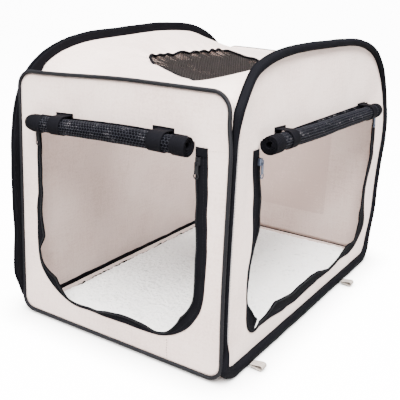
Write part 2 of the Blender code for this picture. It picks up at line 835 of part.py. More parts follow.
def build_mat():
    """The fleece mat: a black backing and a crowned fleece pad with drawn-in sides."""
    mat = add_empty("mat_lift", None, (0, 0, 0))
    half, length = mat_half_sizes()
    low = FABRIC + CLEAR
    backing = rounded_rectangle(-half, half, -length, length, MAT_CORNER, MAT_CORNER, 3)
    middle = (0, 0, low + MAT_BASE / 2)
    plate("mat_base", [backing], MAT_BASE, middle, BLACK_COLOUR, mat, Matrix.Identity(4))
    shape = bmesh.new()
    bmesh.ops.create_grid(shape, x_segments=12, y_segments=18, size=1)
    floor = low + MAT_BASE + CLEAR
    for vertex in shape.verts:
        across, along = vertex.co.x, vertex.co.y
        draw = MAT_DRAW_IN * (1 - along**4) / half
        pull = MAT_DRAW_IN * (1 - across**4) / length
        nip = 0.3 * MAT_CORNER * across**8 * along**8
        crown = MAT_CROWN * (1 - across**4) * (1 - along**4)
        vertex.co = (
            across * (half * (1 - draw) - nip),
            along * (length * (1 - pull) - nip),
            floor + MAT_EDGE + crown,
        )
    edges = [edge for edge in shape.edges if edge.is_boundary]
    grown = bmesh.ops.extrude_edge_only(shape, edges=edges)["geom"]
    for vertex in (item for item in grown if isinstance(item, bmesh.types.BMVert)):
        vertex.co.z = floor
    low_edges = [edge for edge in shape.edges if edge.is_boundary]
    bmesh.ops.contextual_create(shape, geom=low_edges)
    bmesh.ops.recalc_face_normals(shape, faces=shape.faces)
    mesh = bpy.data.meshes.new("fleece_mat")
    shape.to_mesh(mesh)
    shape.free()
    add_object("fleece_mat", mesh, FLEECE_COLOUR, mat)


def strap_places(centre, half, insets):
    return centre - half + insets[0], centre + half - insets[1]


def front_door():
    half = WIDTH / 2 - FRONT_DOOR_MARGIN
    return {
        "name": "front",
        "centre": 0.0,
        "half": half,
        "bottom": FRONT_DOOR_BOTTOM,
        "corner": FRONT_DOOR_CORNER,
        "top": WALL_HEIGHT - FRONT_DOOR_DROP,
        "tape": FRONT_TAPE_WIDTH,
        "roll": FRONT_ROLL_INSETS,
        "tab": -TAB_SHIFT,
        "straps": list(zip(("left", "right"), strap_places(0.0, half, FRONT_STRAP_INSETS))),
        "sliders": [("left", -1, BLACK_COLOUR), ("right", 1, BLACK_COLOUR)],
    }


def side_door():
    near = -DEPTH / 2 + SIDE_DOOR_NEAR_MARGIN
    far = DEPTH / 2 - SIDE_DOOR_FAR_MARGIN
    centre, half = (near + far) / 2, (far - near) / 2
    return {
        "name": "side",
        "centre": centre,
        "half": half,
        "bottom": SIDE_DOOR_BOTTOM,
        "corner": SIDE_DOOR_CORNER,
        "top": WALL_HEIGHT - SIDE_DOOR_DROP,
        "tape": SIDE_TAPE_WIDTH,
        "roll": SIDE_ROLL_INSETS,
        "tab": TAB_SHIFT,
        "straps": list(zip(("near", "far"), strap_places(centre, half, SIDE_STRAP_INSETS))),
        "sliders": [("near", -1, METAL_COLOUR), ("far", 1, METAL_COLOUR)],
    }


def build_crate():
    quarter = math.pi / 2
    front = add_face("front_face", (0, -DEPTH / 2, 0), 0, 0)
    back = add_face("back_face", (0, DEPTH / 2, 0), math.pi, 0)
    left = add_face("left_face", (-WIDTH / 2, 0, 0), -quarter, LEAN)
    right = add_face("right_face", (WIDTH / 2, 0, 0), quarter, -LEAN)
    wall_panel("left_side_panel", hoop_outline(BINDING_WIDTH / 2), left)
    wall_panel("right_side_panel", hoop_outline(BINDING_WIDTH / 2), right, side_door())
    build_hoop("left", left)
    build_hoop("right", right)
    build_end_panel("front", front, front_door())
    build_end_panel("back", back)
    build_pocket(back)
    build_roof()
    build_floor()
    build_mat()
    build_door_kit(front_door(), front)
    build_door_kit(side_door(), right)
    loops = (("front", FRONT_LOOP_INSET - DEPTH / 2), ("back", DEPTH / 2 - BACK_LOOP_INSET))
    for label, place in loops:
        build_peg_loop(f"right_peg_loop_{label}", place, right)
        build_peg_loop(f"left_peg_loop_{label}", -place, left)


build_crate()
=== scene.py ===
"""Looks of a pop-up fabric dog crate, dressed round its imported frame.

Everything is in metres in the frame of the CAD model: the origin is on the ground at the
middle of the crate, +X is its right side seen from the front door, -Y is the front and +Z
is up. Each wall is worked out in the frame of its own face: along it, out of it and up it.
"""
import math

import bmesh
import bpy
import numpy as np
from bpy.props import FloatProperty, FloatVectorProperty, IntProperty, PointerProperty
from mathutils import Matrix, Vector, noise


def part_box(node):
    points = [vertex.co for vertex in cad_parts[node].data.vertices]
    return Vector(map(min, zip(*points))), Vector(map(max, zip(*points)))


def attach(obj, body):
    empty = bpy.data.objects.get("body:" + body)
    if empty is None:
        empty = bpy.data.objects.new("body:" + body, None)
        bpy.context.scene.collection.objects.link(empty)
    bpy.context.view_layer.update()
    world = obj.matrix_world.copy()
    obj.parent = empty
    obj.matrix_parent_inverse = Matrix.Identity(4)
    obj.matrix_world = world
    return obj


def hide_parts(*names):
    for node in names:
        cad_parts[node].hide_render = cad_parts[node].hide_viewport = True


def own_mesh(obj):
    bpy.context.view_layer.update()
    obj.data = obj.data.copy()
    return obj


bl_info = {
    "name": "Folding dog crate",
    "version": (1, 0, 0),
    "blender": (4, 5, 0),
    "location": "3D View > Sidebar > Dog crate",
    "description": "Dresses the packed frame of a pop-up fabric dog crate",
    "category": "Object",
}

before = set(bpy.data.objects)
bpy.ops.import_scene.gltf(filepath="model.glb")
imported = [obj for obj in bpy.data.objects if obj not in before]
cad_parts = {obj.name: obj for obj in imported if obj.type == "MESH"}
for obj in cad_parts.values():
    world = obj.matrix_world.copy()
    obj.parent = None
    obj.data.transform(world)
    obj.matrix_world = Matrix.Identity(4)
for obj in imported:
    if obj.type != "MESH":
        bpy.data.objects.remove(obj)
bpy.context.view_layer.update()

# Overall sizes
WIDTH = 0.420
DEPTH = 0.650
WALL_HEIGHT = 0.450
LEAN = math.radians(1.8)
FABRIC = 0.0015
CLEAR = 0.0003

# Hoops and the end panels
HOOP_REACH = 0.0245
HOOP_RISE = 0.052
HOOP_CORNER = 0.046
HOOP_BOW = 0.0145
CROWN_DROP = 0.211
CROWN_POWER = 3.65
BINDING_WIDTH = 0.014
BINDING_THICK = 0.010
WIRE_RADIUS = 0.00175
PANEL_LIFT = 0.008
PANEL_TOP_CORNER = 0.030
PANEL_LOW_CORNER = 0.024
PIPING_RADIUS = 0.002
ROOF_SAG = 0.0285
ROOF_POWER = 1.3
ROOF_DROP = 0.0175
VALLEY = 0.14
FACING = 0.0225
ROOF_EDGE_BLEND = 0.055
FLOOR_EDGE_BLEND = 0.022
FLOOR_RIM = 0.04
SEAM_INSET = 0.010

# Roof window and back pocket
WINDOW_HALF_WIDTH = 0.115
WINDOW_HALF_LENGTH = 0.150
WINDOW_SETBACK = 0.045
WINDOW_CORNER = 0.045
WINDOW_LAP = 0.006
WINDOW_WIDER = 0.022
WINDOW_NEARER = 0.012
POCKET_WIDTH = 0.200
POCKET_HEIGHT = 0.225
POCKET_BOTTOM = 0.075
POCKET_CORNER = 0.012

# Zips, rolls and straps
TAPE_THICK = 0.0010
TAPE_LAP = 0.004
COIL_RADIUS = 0.0015
CORD_RADIUS = 1.6 * PIPING_RADIUS
TAPE_STEPS = 420
STITCH = 0.0032
ROLL_CORE = 0.0043
ROLL_RADIUS = 0.0124
ROLL_THICK = 0.0008
NETTING_RADIUS = 0.0128
NETTING_MARGIN = 0.044
ROLL_END_CORE = 0.0046
ROLL_END_RADIUS = 0.0156
ROLL_END_TURNS = 3.6
ROLL_END_THICK = 0.0013
SIDE_ROLL_LENGTH = 0.485
ROLL_RISE = 0.003
ROLL_OUT = 0.0195
SEAM_TOP = 0.011
DOORWAY_DROP = 0.005
STRAP_WIDTH = 0.024
STRAP_THICK = 0.0013
STRAP_TOP = 0.0175
TAB_WIDTH = 0.033
STRAP_RADIUS = 0.01475
END_WIDTH = 0.015
END_HEIGHT = 0.013

# Mat and peg loops
MAT_SIDE_GAP = 0.0105
MAT_END_GAP = 0.030
MAT_CORNER = 0.012
MAT_DRAW_IN = 0.003
MAT_EDGE = 0.0105
MAT_CROWN = 0.0055
MAT_BACK_REACH = 0.009
MAT_VOXEL = 0.0055
SWELL_LIMIT = 0.006
SWELL_STEPS = 20
TUFT_SIZE = 0.0085
DUNE_SIZE = 0.05
RIM_THICK = 0.0011
LOOP_THICK = 0.0013
LOOP_PINCH = 0.0012

# How far the soft crate stands away from its drawn shape
BELLY_HEIGHT = 0.30
FRONT_BULGE = 0.011
FRONT_POST_OUT = 0.0042
FRONT_LEFT_PINCH = 0.008
FRONT_LEFT_DROOP = 0.0075
SILL_DROOP = 0.003
LEFT_FRONT_IN = 0.006
LEFT_FRONT_LEAN = 0.011
TUCK_REACH = 0.3215
TUCK_SOFTNESS = 0.006
BACK_BULGE = 0.0055
BACK_BELLY = 0.008
BACK_CROWN_IN = 0.009
BACK_FOOT_IN = 0.014
BACK_FOOT_PINCH = 0.003
BACK_SLACK = 0.0065
BACK_EDGE_DROOP = 0.001
ROOF_HUMP = 0.0068

# The photograph's view
CAMERA_PLACE = (0.6386, -1.0809, 0.5792)
CAMERA_YAW, CAMERA_PITCH, CAMERA_ROLL = -0.56444, 0.31286, -0.03762
LENS, SENSOR = 59.0, 36.0

# Each lamp's name, place, width and power
LAMPS = (
    ("key", (0.7, -2.1, 2.85), 2.2, 250),
    ("top", (0.0, 0.0, 3.0), 2.4, 25),
    ("side", (1.7, -0.5, 3.1), 1.6, 150),
)
LAMP_AIM = Vector((0, 0, 0.2))
WORLD_LIGHT = 0.42

# Sizes that follow from the ones above
HOOP_HALF = DEPTH / 2 + HOOP_REACH
HOOP_TOP = WALL_HEIGHT + HOOP_RISE
HOOP_BASE = HOOP_HALF - HOOP_BOW
CROWN_BASE = WALL_HEIGHT - CROWN_DROP
SHEET_END = DEPTH / 2 - FABRIC / 2 - PIPING_RADIUS - CLEAR
TAPE_OUT = CLEAR + TAPE_THICK / 2
COIL_OUT = 2 * CLEAR + TAPE_THICK + COIL_RADIUS
TAB_OUT = 2 * CLEAR + 1.5 * STRAP_THICK

# The two doorways, measured on their walls. "widths" is the share of the zip tape's width that
# shows and "shifts" is how far the cut edge strays inwards, each at shares of the way from the
# top left corner, down and round to the top right one.
DOORS = {
    "front": {
        "centre": 0.0,
        "half": 0.169,
        "bottom": 0.049,
        "corners": (0.086, 0.100),
        "widths": (
            (0.0, 0.62), (0.13, 0.65), (0.2, 0.9), (0.235, 1.2), (0.262, 0.3), (0.285, 0.45),
            (0.31, 0.8), (0.335, 1.3), (0.36, 0.9), (0.385, 0.35), (0.46, 0.35), (0.485, 0.8),
            (0.52, 0.95), (0.57, 0.85), (0.6, 0.4), (0.622, 0.4), (0.65, 1.0), (0.675, 1.5),
            (0.7, 1.3), (0.73, 1.15), (0.8, 1.15), (0.86, 1.2), (0.93, 1.3), (1.0, 1.3),
        ),
        "shifts": (
            (0.0, 0.0105), (0.06, 0.0085), (0.12, 0.005), (0.18, 0.0), (0.6, 0.0),
            (0.66, -0.004), (0.72, -0.003), (0.8, -0.0015), (0.86, 0.0), (0.91, 0.002),
            (0.95, 0.005), (1.0, 0.0085),
        ),
        "top": 0.367,
        "tape": 0.014,
        "roll": (-0.159, 0.143),
        "straps": {"left": -0.095, "right": 0.096},
        "tab_shift": -0.0105,
        "wave": 0.0022,
        "body": "crate",
        "wall": "front",
        "folds": True,
    },
    "side": {
        "centre": 0.0275,
        "half": 0.2725,
        "bottom": 0.042,
        "corners": (0.036, 0.075),
        "widths": (
            (0.0, 1.1), (0.07, 1.15), (0.11, 1.2), (0.127, 0.8), (0.145, 0.42), (0.174, 0.3),
            (0.218, 0.25), (0.232, 0.9), (0.256, 1.75), (0.279, 0.2), (0.29, 0.55),
            (0.32, 0.75), (0.345, 1.55), (0.38, 1.4), (0.42, 1.3), (0.455, 1.35), (0.48, 1.4),
            (0.505, 1.15), (0.53, 0.75), (0.575, 0.4), (0.62, 0.4), (0.66, 1.3), (0.70, 1.0),
            (0.74, 2.1), (0.77, 2.3), (0.795, 1.8), (0.81, 1.1), (0.85, 1.2), (0.9, 0.8),
            (1.0, 0.8),
        ),
        "shifts": (
            (0.0, -0.003), (0.05, 0.001), (0.07, 0.0035), (0.098, 0.0045), (0.127, 0.0045),
            (0.141, 0.0005), (0.155, -0.005), (0.17, -0.008), (0.192, -0.008), (0.224, -0.011),
            (0.25, -0.009), (0.275, 0.0), (0.295, 0.010), (0.32, 0.009), (0.36, 0.003),
            (0.4, 0.0), (0.46, -0.002), (0.52, 0.0), (0.68, 0.003), (0.73, 0.007),
            (0.76, 0.002), (0.785, 0.012), (0.8, 0.020), (0.82, 0.022), (0.84, 0.020),
            (0.86, 0.010), (0.88, 0.002), (0.9, 0.0), (1.0, 0.0),
        ),
        "top": 0.354,
        "tape": 0.018,
        "roll": (-0.233, 0.252),
        "straps": {"near": -0.167, "far": 0.200},
        "tab_shift": 0.0105,
        "wave": 0.0045,
        "body": "right_side",
        "wall": "right",
        "folds": False,
    },
}


# ---- faces, paths and meshes


def face_matrix(place, turn, lean):
    move = Matrix.Translation(place) @ Matrix.Rotation(lean, 4, "Y")
    return np.array(move @ Matrix.Rotation(turn, 4, "Z"))


FACES = {
    "front": face_matrix((0, -DEPTH / 2, 0), 0, 0),
    "back": face_matrix((0, DEPTH / 2, 0), math.pi, 0),
    "left": face_matrix((-WIDTH / 2, 0, 0), -math.pi / 2, LEAN),
    "right": face_matrix((WIDTH / 2, 0, 0), math.pi / 2, -LEAN),
}


def outward_from(wall):
    """The direction that points out of a wall's face."""
    return FACES[wall][:3, :3] @ np.array([0, -1, 0])


def on_face(wall, along, out, height):
    """Points in the row frame from places along a face, out of it and up it."""
    along, out, height = np.broadcast_arrays(along, out, height)
    local = np.stack([along, -out, height, np.ones_like(along, float)], axis=-1)
    return stood((local @ FACES[wall].T)[..., :3], wall)


def stood(points, wall):
    """How the soft crate really stands: its right front edge bulges and its corners droop."""
    x, y, z = points[..., 0], points[..., 1], points[..., 2]
    front, back = up_from(-y, 0.238, 0.082), up_from(y, 0.27, 0.07)
    rightward = up_from(x, 0.03, 0.16)
    belly = np.exp(-(((z - BELLY_HEIGHT) / 0.08) ** 2))
    low = down_from(z, 0.12, 0.10)
    move_x = rightward * front * FRONT_BULGE * up_from(z, 0.08, 0.40)
    move_x = move_x + rightward * back * (BACK_BULGE * belly - BACK_FOOT_PINCH * low)
    move_x = move_x - up_from(-x, 0.11, 0.09) * front * FRONT_LEFT_PINCH
    move_y, move_z = np.zeros_like(x), np.zeros_like(x)
    if wall == "right":
        past = hoop_front(z) - TUCK_REACH
        tuck = 0.5 * (past + np.sqrt(past**2 + TUCK_SOFTNESS**2))
        move_y = front * tuck * up_from(z, 0.01, 0.05)
        crown = up_from(z, 0.43, 0.05)
        move_y = move_y + back * (BACK_BELLY * belly - BACK_CROWN_IN * crown - BACK_FOOT_IN * low)
    elif wall == "left":
        lean = down_from(z, 0.17, 0.10) * up_from(z, 0.025, 0.06)
        move_y = front * (LEFT_FRONT_IN - LEFT_FRONT_LEAN * lean)
    elif wall in ("front", "roof"):
        left = down_from(x, 0.05, 0.23)
        move_z = -FRONT_LEFT_DROOP * front * left * up_from(z, 0.24, 0.14)
    if wall in ("front", "floor"):
        move_z = move_z - SILL_DROOP * front * down_from(z, 0.10, 0.09)
    if wall in ("back", "roof"):
        slack = np.exp(-(((x - 0.04) / 0.12) ** 2)) * up_from(z, 0.36, 0.07)
        move_z = move_z - BACK_SLACK * back * slack
        if wall == "back":
            move_z = move_z - BACK_EDGE_DROOP * up_from(z, 0.39, 0.05)
    if wall == "front":
        upright = up_from(x, 0.13, 0.07) * down_from(z, 0.41, 0.05) * smooth(z / 0.04)
        move_x = move_x + FRONT_POST_OUT * upright
    if wall in ("left", "roof"):
        hump = up_from(y, -0.12, 0.18) * down_from(y, 0.28, 0.13)
        move_z = move_z + ROOF_HUMP * hump * up_from(z, 0.43, 0.05) * up_from(-x, 0.10, 0.09)
    moved = np.stack([x + move_x, y + move_y, z + move_z], -1)
    if wall == "floor":
        moved[..., 2] = np.maximum(moved[..., 2], FABRIC / 2)
    return moved


def hoop_front(height):
    """How far forward a hoop's outline reaches at each height."""
    corner = np.sqrt(np.clip(HOOP_CORNER**2 - (HOOP_CORNER - height) ** 2, 0, None))
    low = HOOP_BASE - HOOP_CORNER + corner
    share = np.clip((CROWN_BASE - height) / (CROWN_BASE - HOOP_CORNER), 0, 1)
    middle = HOOP_HALF - HOOP_BOW * share**2
    rise = np.clip((height - CROWN_BASE) / (HOOP_TOP - CROWN_BASE), 0, 1)
    high = HOOP_HALF * (1 - rise**CROWN_POWER) ** (1 / CROWN_POWER)
    return np.where(height < HOOP_CORNER, low, np.where(height < CROWN_BASE, middle, high))


def arc(centre, radius, start, end, steps):
    """Points round an arc, from one angle to another in degrees."""
    angles = np.radians(np.linspace(start, end, steps + 1))
    return np.stack([centre[0] + radius * np.cos(angles), centre[1] + radius * np.sin(angles)], 1)


def resampled(points, count, closed=False):
    """The same path cut into steps of equal length."""
    points = np.asarray(points, float)
    if closed:
        points = np.vstack([points, points[:1]])
    lengths = np.linalg.norm(np.diff(points, axis=0), axis=1)
    reach = np.concatenate([[0], np.cumsum(lengths)])
    wanted = np.linspace(0, reach[-1], count + 1 if closed else count)
    if closed:
        wanted = wanted[:-1]
    return np.stack([np.interp(wanted, reach, column) for column in points.T], 1)


def directions(points, closed):
    """Unit directions along a path."""
    if closed:
        run = np.roll(points, -1, 0) - np.roll(points, 1, 0)
    else:
        run = np.gradient(points, axis=0)
    return run / np.linalg.norm(run, axis=1)[:, None]


def path_normals(points, closed):
    """Unit normals of a flat path, to the right of its direction."""
    run = directions(points, closed)
    return np.stack([run[:, 1], -run[:, 0]], 1)


def smooth(value):
    """A soft step from 0 to 1."""
    value = np.clip(value, 0, 1)
    return value * value * (3 - 2 * value)


def up_from(value, start, over):
    """From 0 at the start softly up to 1, over this much of the value."""
    return smooth((value - start) / over)


def down_from(value, start, over):
    """From 0 at the start softly up to 1 as the value goes down by this much."""
    return smooth((start - value) / over)


def fbm(points, size, seed, octaves=2):
    """Soft noise about zero at each point, with its swells this far apart."""
    shift = Vector((seed * 7.31, seed * 3.17, seed * 1.93))
    flat = np.asarray(points, float).reshape(-1, np.shape(points)[-1])
    if flat.shape[1] == 2:
        flat = np.c_[flat, np.zeros(len(flat))]
    found = np.zeros(len(flat))
    for octave in range(octaves):
        scale = 2**octave / size
        found += [noise.noise(Vector(spot) * scale + shift) / 2**octave for spot in flat]
    return found.reshape(np.shape(points)[:-1])


def rounded_rectangle(left, right, bottom, top, low, high):
    """A closed outline with one radius for its lower corners and one for its upper ones."""
    corners = (
        ((right - low, bottom + low), low, -90, 0),
        ((right - high, top - high), high, 0, 90),
        ((left + high, top - high), high, 90, 180),
        ((left + low, bottom + low), low, 180, 270),
    )
    return np.vstack([arc(*corner, 14) for corner in corners])


def placed(name, data):
    """A new object in the scene."""
    item = bpy.data.objects.new(name, data)
    bpy.context.scene.collection.objects.link(item)
    return item


def make_mesh(name, points, faces, material, uvs=None):
    """One mesh object; uvs hold one place in metres for each corner of each face."""
    mesh = bpy.data.meshes.new(name)
    mesh.from_pydata(np.asarray(points, float).reshape(-1, 3).tolist(), [], faces)
    if uvs is not None:
        layer = mesh.uv_layers.new(name="cloth")
        layer.data.foreach_set("uv", np.asarray(uvs, np.float32).ravel())
    mesh.shade_smooth()
    mesh.set_sharp_from_angle(angle=math.radians(50))
    mesh.materials.append(material)
    return placed(name, mesh)


def grid_faces(rows, columns, closed_rows=False, closed_columns=False):
    """Quads of a grid, and for each corner its row and column without wrapping."""
    r = np.arange(rows if closed_rows else rows - 1)
    c = np.arange(columns if closed_columns else columns - 1)
    r, c = (a.ravel() for a in np.meshgrid(r, c, indexing="ij"))
    corner_rows = np.stack([r, r, r + 1, r + 1], 1)
    corner_columns = np.stack([c, c + 1, c + 1, c], 1)
    quads = (corner_rows % rows) * columns + corner_columns % columns
    return quads.tolist(), corner_rows, corner_columns


def grid_piece(name, points, material, places=None, closed_rows=False, closed_columns=False):
    """A skin over a grid of points, with its cloth laid out in metres."""
    points = np.asarray(points, float)
    rows, columns = points.shape[:2]
    faces, corner_rows, corner_columns = grid_faces(rows, columns, closed_rows, closed_columns)
    if places is None:
        across = np.linalg.norm(np.diff(points, axis=1, append=points[:, :1]), axis=2).mean(0)
        along = np.linalg.norm(np.diff(points, axis=0, append=points[:1]), axis=2).mean(1)
        across = np.concatenate([[0], np.cumsum(across)])
        along = np.concatenate([[0], np.cumsum(along)])
        uvs = np.stack([across[corner_columns], along[corner_rows]], -1)
    else:
        uvs = places[corner_rows % rows, corner_columns % columns]
    return make_mesh(name, points, faces, material, uvs)


def strip_places(insets, length, count):
    """A strip's cloth map: its width by its insets and its length in even steps."""
    reach = np.linspace(0, length, count)
    return np.stack(np.broadcast_arrays(insets[:, None], reach[None]), -1)


def thicken(item, thickness):
    solid = item.modifiers.new("cloth thickness", "SOLIDIFY")
    solid.thickness = thickness
    solid.offset = 0
    return item


def apply_modifiers(item):
    graph = bpy.context.evaluated_depsgraph_get()
    mesh = bpy.data.meshes.new_from_object(item.evaluated_get(graph))
    item.modifiers.clear()
    item.data = mesh
    return item


def settle(item, body, stands_for=(), folds=False):
    """Put a piece on its body and hide the nodes it replaces; a piece that folds gets its own mesh.
    """
    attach(item, body)
    if stands_for:
        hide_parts(*stands_for)
    if folds:
        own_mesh(item)
    return item


def frames_along(points, closed, up):
    """Directions along a path, across it and away from its surface."""
    run = directions(points, closed)
    up = np.broadcast_to(np.asarray(up, float), points.shape)
    across = np.cross(run, up)
    across /= np.linalg.norm(across, axis=1)[:, None]
    return run, across, np.cross(across, run)


def swept(name, points, section, material, up, closed=False, grow=None):
    """A section carried along a path; its two numbers go across the path and away from it."""
    points = np.asarray(points, float)
    _, across, away = frames_along(points, closed, up)
    section = np.asarray(section, float)
    scale = np.ones(len(points)) if grow is None else np.asarray(grow)
    grid = (
        points[:, None]
        + across[:, None] * (section[None, :, :1] * scale[:, None, None])
        + away[:, None] * (section[None, :, 1:] * scale[:, None, None])
    )
    item = grid_piece(name, grid, material, None, closed, True)
    if not closed:
        close_ends(item)
    return item


def close_ends(item):
    shape = bmesh.new()
    shape.from_mesh(item.data)
    edges = [edge for edge in shape.edges if edge.is_boundary]
    bmesh.ops.holes_fill(shape, edges=edges, sides=0)
    bmesh.ops.recalc_face_normals(shape, faces=shape.faces)
    shape.to_mesh(item.data)
    shape.free()


def circle(radius, sides, flat=1.0):
    angles = np.linspace(0, 2 * math.pi, sides, endpoint=False)
    return np.stack([radius * np.cos(angles), flat * radius * np.sin(angles)], 1)


def stitches(name, lines, material, up, gap=0.0013, radius=0.00035, closed=False):
    """Rows of thread: each stitch is a short rounded bar lying on the cloth."""
    points, faces = [], []
    shares = ((-0.5, 0.25), (-0.34, 1.0), (0.34, 1.0), (0.5, 0.25))
    ring = circle(1.0, 5, 0.7)
    for line, normal in zip(lines, up):
        line = np.asarray(line, float)
        ends = np.vstack([line, line[:1]]) if closed else line
        total = np.linalg.norm(np.diff(ends, axis=0), axis=1).sum()
        count = max(2, int(total / (STITCH + gap)))
        spots = resampled(line, count, closed)
        run, across, away = frames_along(spots, closed, normal)
        for spot, ahead, aside, off in zip(spots, run, across, away):
            first = len(points)
            for share, size in shares:
                centre = spot + ahead * share * STITCH
                for u, v in ring:
                    points.append(centre + (aside * u + off * v) * radius * size)
            for row in range(3):
                for side in range(5):
                    after = (side + 1) % 5
                    low = first + row * 5
                    faces.append((low + side, low + after, low + 5 + after, low + 5 + side))
            faces.append(tuple(first + side for side in range(4, -1, -1)))
            faces.append(tuple(first + 15 + side for side in range(5)))
    return make_mesh(name, points, faces, material)


def sew(name, lines, thread, up, body, slot, folds=False, **shape):
    """Rows of stitches, put on the body of the cloth that they hold."""
    settle(stitches(name, lines, thread, up, **shape), body, folds=folds)


def along_face(wall, path, out):
    """A flat path of a wall's face, moved out of it."""
    return on_face(wall, path[:, 0], out, path[:, 1])


def hexagon_net(name, place, width, height, cell, strand, material):
    """Netting: a sheet of six-sided holes laid over a surface, left as its strands."""
    side = cell / math.sqrt(3)
    shape = bmesh.new()
    found = {}

    def corner(x, y):
        key = (round(x / side * 4), round(y / side * 4))
        if key not in found:
            found[key] = shape.verts.new(place(x, y))
        return found[key]

    rows = int(height / (1.5 * side))
    columns = int(width / cell)
    for row in range(rows):
        for column in range(columns):
            x = -width / 2 + cell * (column + 0.5 + 0.5 * (row % 2))
            y = -height / 2 + side * (1 + 1.5 * row)
            if x > width / 2:
                continue
            turns = [math.radians(60 * step) for step in range(6)]
            spots = [(x + side * math.sin(turn), y + side * math.cos(turn)) for turn in turns]
            shape.faces.new([corner(*spot) for spot in spots])
    bmesh.ops.recalc_face_normals(shape, faces=shape.faces)
    mesh = bpy.data.meshes.new(name)
    shape.to_mesh(mesh)
    shape.free()
    mesh.materials.append(material)
    item = placed(name, mesh)
    wires = item.modifiers.new("strands", "WIREFRAME")
    wires.thickness = strand
    wires.use_even_offset = False
    wires.use_boundary = True
    apply_modifiers(item)
    item.data.shade_smooth()
    return item


# ---- the crate's own shapes


def side_inner(height):
    """How far the inner face of a side wall stands from the middle, at a height."""
    return WIDTH / 2 - height * math.tan(LEAN) - FABRIC / math.cos(LEAN)


def hoop_loop(inset, count=420):
    """The closed outline of a hoop in its own face, set in from its outer edge."""
    corner = arc((HOOP_BASE - HOOP_CORNER, HOOP_CORNER), HOOP_CORNER, -90, 0, 24)
    left_over = 1 - np.linspace(0, 1, 20)[1:-1]
    bow_up = CROWN_BASE - left_over * (CROWN_BASE - HOOP_CORNER)
    bow = np.stack([HOOP_HALF - HOOP_BOW * left_over**2, bow_up], 1)
    angles, power = np.linspace(0, math.pi / 2, 120), 2 / CROWN_POWER
    crown_up = CROWN_BASE + (HOOP_TOP - CROWN_BASE) * np.sin(angles) ** power
    crown = np.stack([HOOP_HALF * np.cos(angles).clip(0) ** power, crown_up], 1)
    half = np.vstack([[(0, 0)], corner, bow, crown])
    other = half[1:-1][::-1] * (-1, 1)
    loop = resampled(np.vstack([half, other]), count, True)
    return loop - path_normals(loop, True) * inset


def hoop_high(along):
    """Height at which the roof meets a hoop, at each place along the crate."""
    reach = HOOP_HALF - SEAM_INSET
    share = np.maximum(0, 1 - np.minimum(1, np.abs(along) / reach) ** CROWN_POWER)
    return CROWN_BASE + (HOOP_TOP - ROOF_DROP - CROWN_BASE) * share ** (1 / CROWN_POWER)


def hoop_low(along):
    """Height at which the floor meets a hoop, at each place along the crate."""
    radius = HOOP_CORNER - SEAM_INSET
    past = np.maximum(0, np.abs(along) - (HOOP_BASE - HOOP_CORNER))
    return HOOP_CORNER - np.sqrt(np.maximum(0, radius**2 - past**2))


def panel_loop(inset, count=0):
    """The outline of the front or back panel, narrower at the top as the sides lean in."""
    edge = side_inner(0) - CLEAR - inset
    low, high = PANEL_LOW_CORNER - inset, PANEL_TOP_CORNER - inset
    loop = rounded_rectangle(-edge, edge, PANEL_LIFT + inset, WALL_HEIGHT - inset, low, high)
    loop[:, 0] *= 1 - math.tan(LEAN) / edge * loop[:, 1]
    return resampled(loop, count, True) if count else loop


def seam_half(top):
    """The piping's path from the middle of the panel out to the side wall's seam."""
    loop = panel_loop(PIPING_RADIUS)
    loop = loop[loop[:, 0] > 0]
    if top:
        end = float(hoop_high(SHEET_END))
        run, middle = loop[loop[:, 1] > end][::-1], (0, WALL_HEIGHT - PIPING_RADIUS)
    else:
        end = float(hoop_low(SHEET_END))
        run, middle = loop[loop[:, 1] < end], (0, PANEL_LIFT + PIPING_RADIUS)
    last = (side_inner(end) - PIPING_RADIUS - CLEAR, end)
    return resampled(np.vstack([[middle], run, [last]]), 200)


def drawn_to_seam(across, along, height, blend, seam):
    """A sheet's points, led over to the piping of the front and back as they near them."""
    weight = up_from(np.abs(along), SHEET_END - blend, blend)
    share = np.abs(across) * (len(seam) - 1)
    target_x = np.interp(share, np.arange(len(seam)), seam[:, 0]) * np.sign(across)
    target_z = np.interp(share, np.arange(len(seam)), seam[:, 1])
    x = across * (side_inner(height) - 3 * CLEAR)
    x = x + weight * (target_x - x)
    return np.stack([x, along, height + weight * (target_z - height)], -1)


def roof_height(across, along):
    """The slack roof: it sags most in a valley right of its middle and rises to the hoops."""
    sag = 1 - (along / SHEET_END) ** 2
    middle = WALL_HEIGHT - PIPING_RADIUS - ROOF_SAG * sag
    lowest = VALLEY * sag
    away = np.where(across > lowest, across - lowest, lowest - across)
    away = away / np.where(across > lowest, 1 - lowest, 1 + lowest)
    bend = 0.02 ** (ROOF_POWER / 2)
    share = ((away**2 + 0.02) ** (ROOF_POWER / 2) - bend) / (1.02 ** (ROOF_POWER / 2) - bend)
    return middle + (hoop_high(along) - middle) * share


def roof_over(x, y):
    """Height of the roof's middle surface over points of the ground."""
    height = np.full(np.shape(x), WALL_HEIGHT)
    for _ in range(6):
        height = roof_height(x / side_inner(height), y)
    return height


def window_loop(inset, count=300):
    """The roof window's outline, drawn out to the right and towards the front."""
    half, corner = WINDOW_HALF_WIDTH - inset, WINDOW_CORNER - inset
    near = WINDOW_SETBACK - WINDOW_HALF_LENGTH + inset - WINDOW_NEARER
    far = WINDOW_SETBACK + WINDOW_HALF_LENGTH - inset
    loop = rounded_rectangle(-half, half, near, far, corner, corner)
    loop[:, 0] += WINDOW_WIDER * smooth(loop[:, 0] / WINDOW_HALF_WIDTH)
    return resampled(loop, count, True)


WINDOW = window_loop(0)


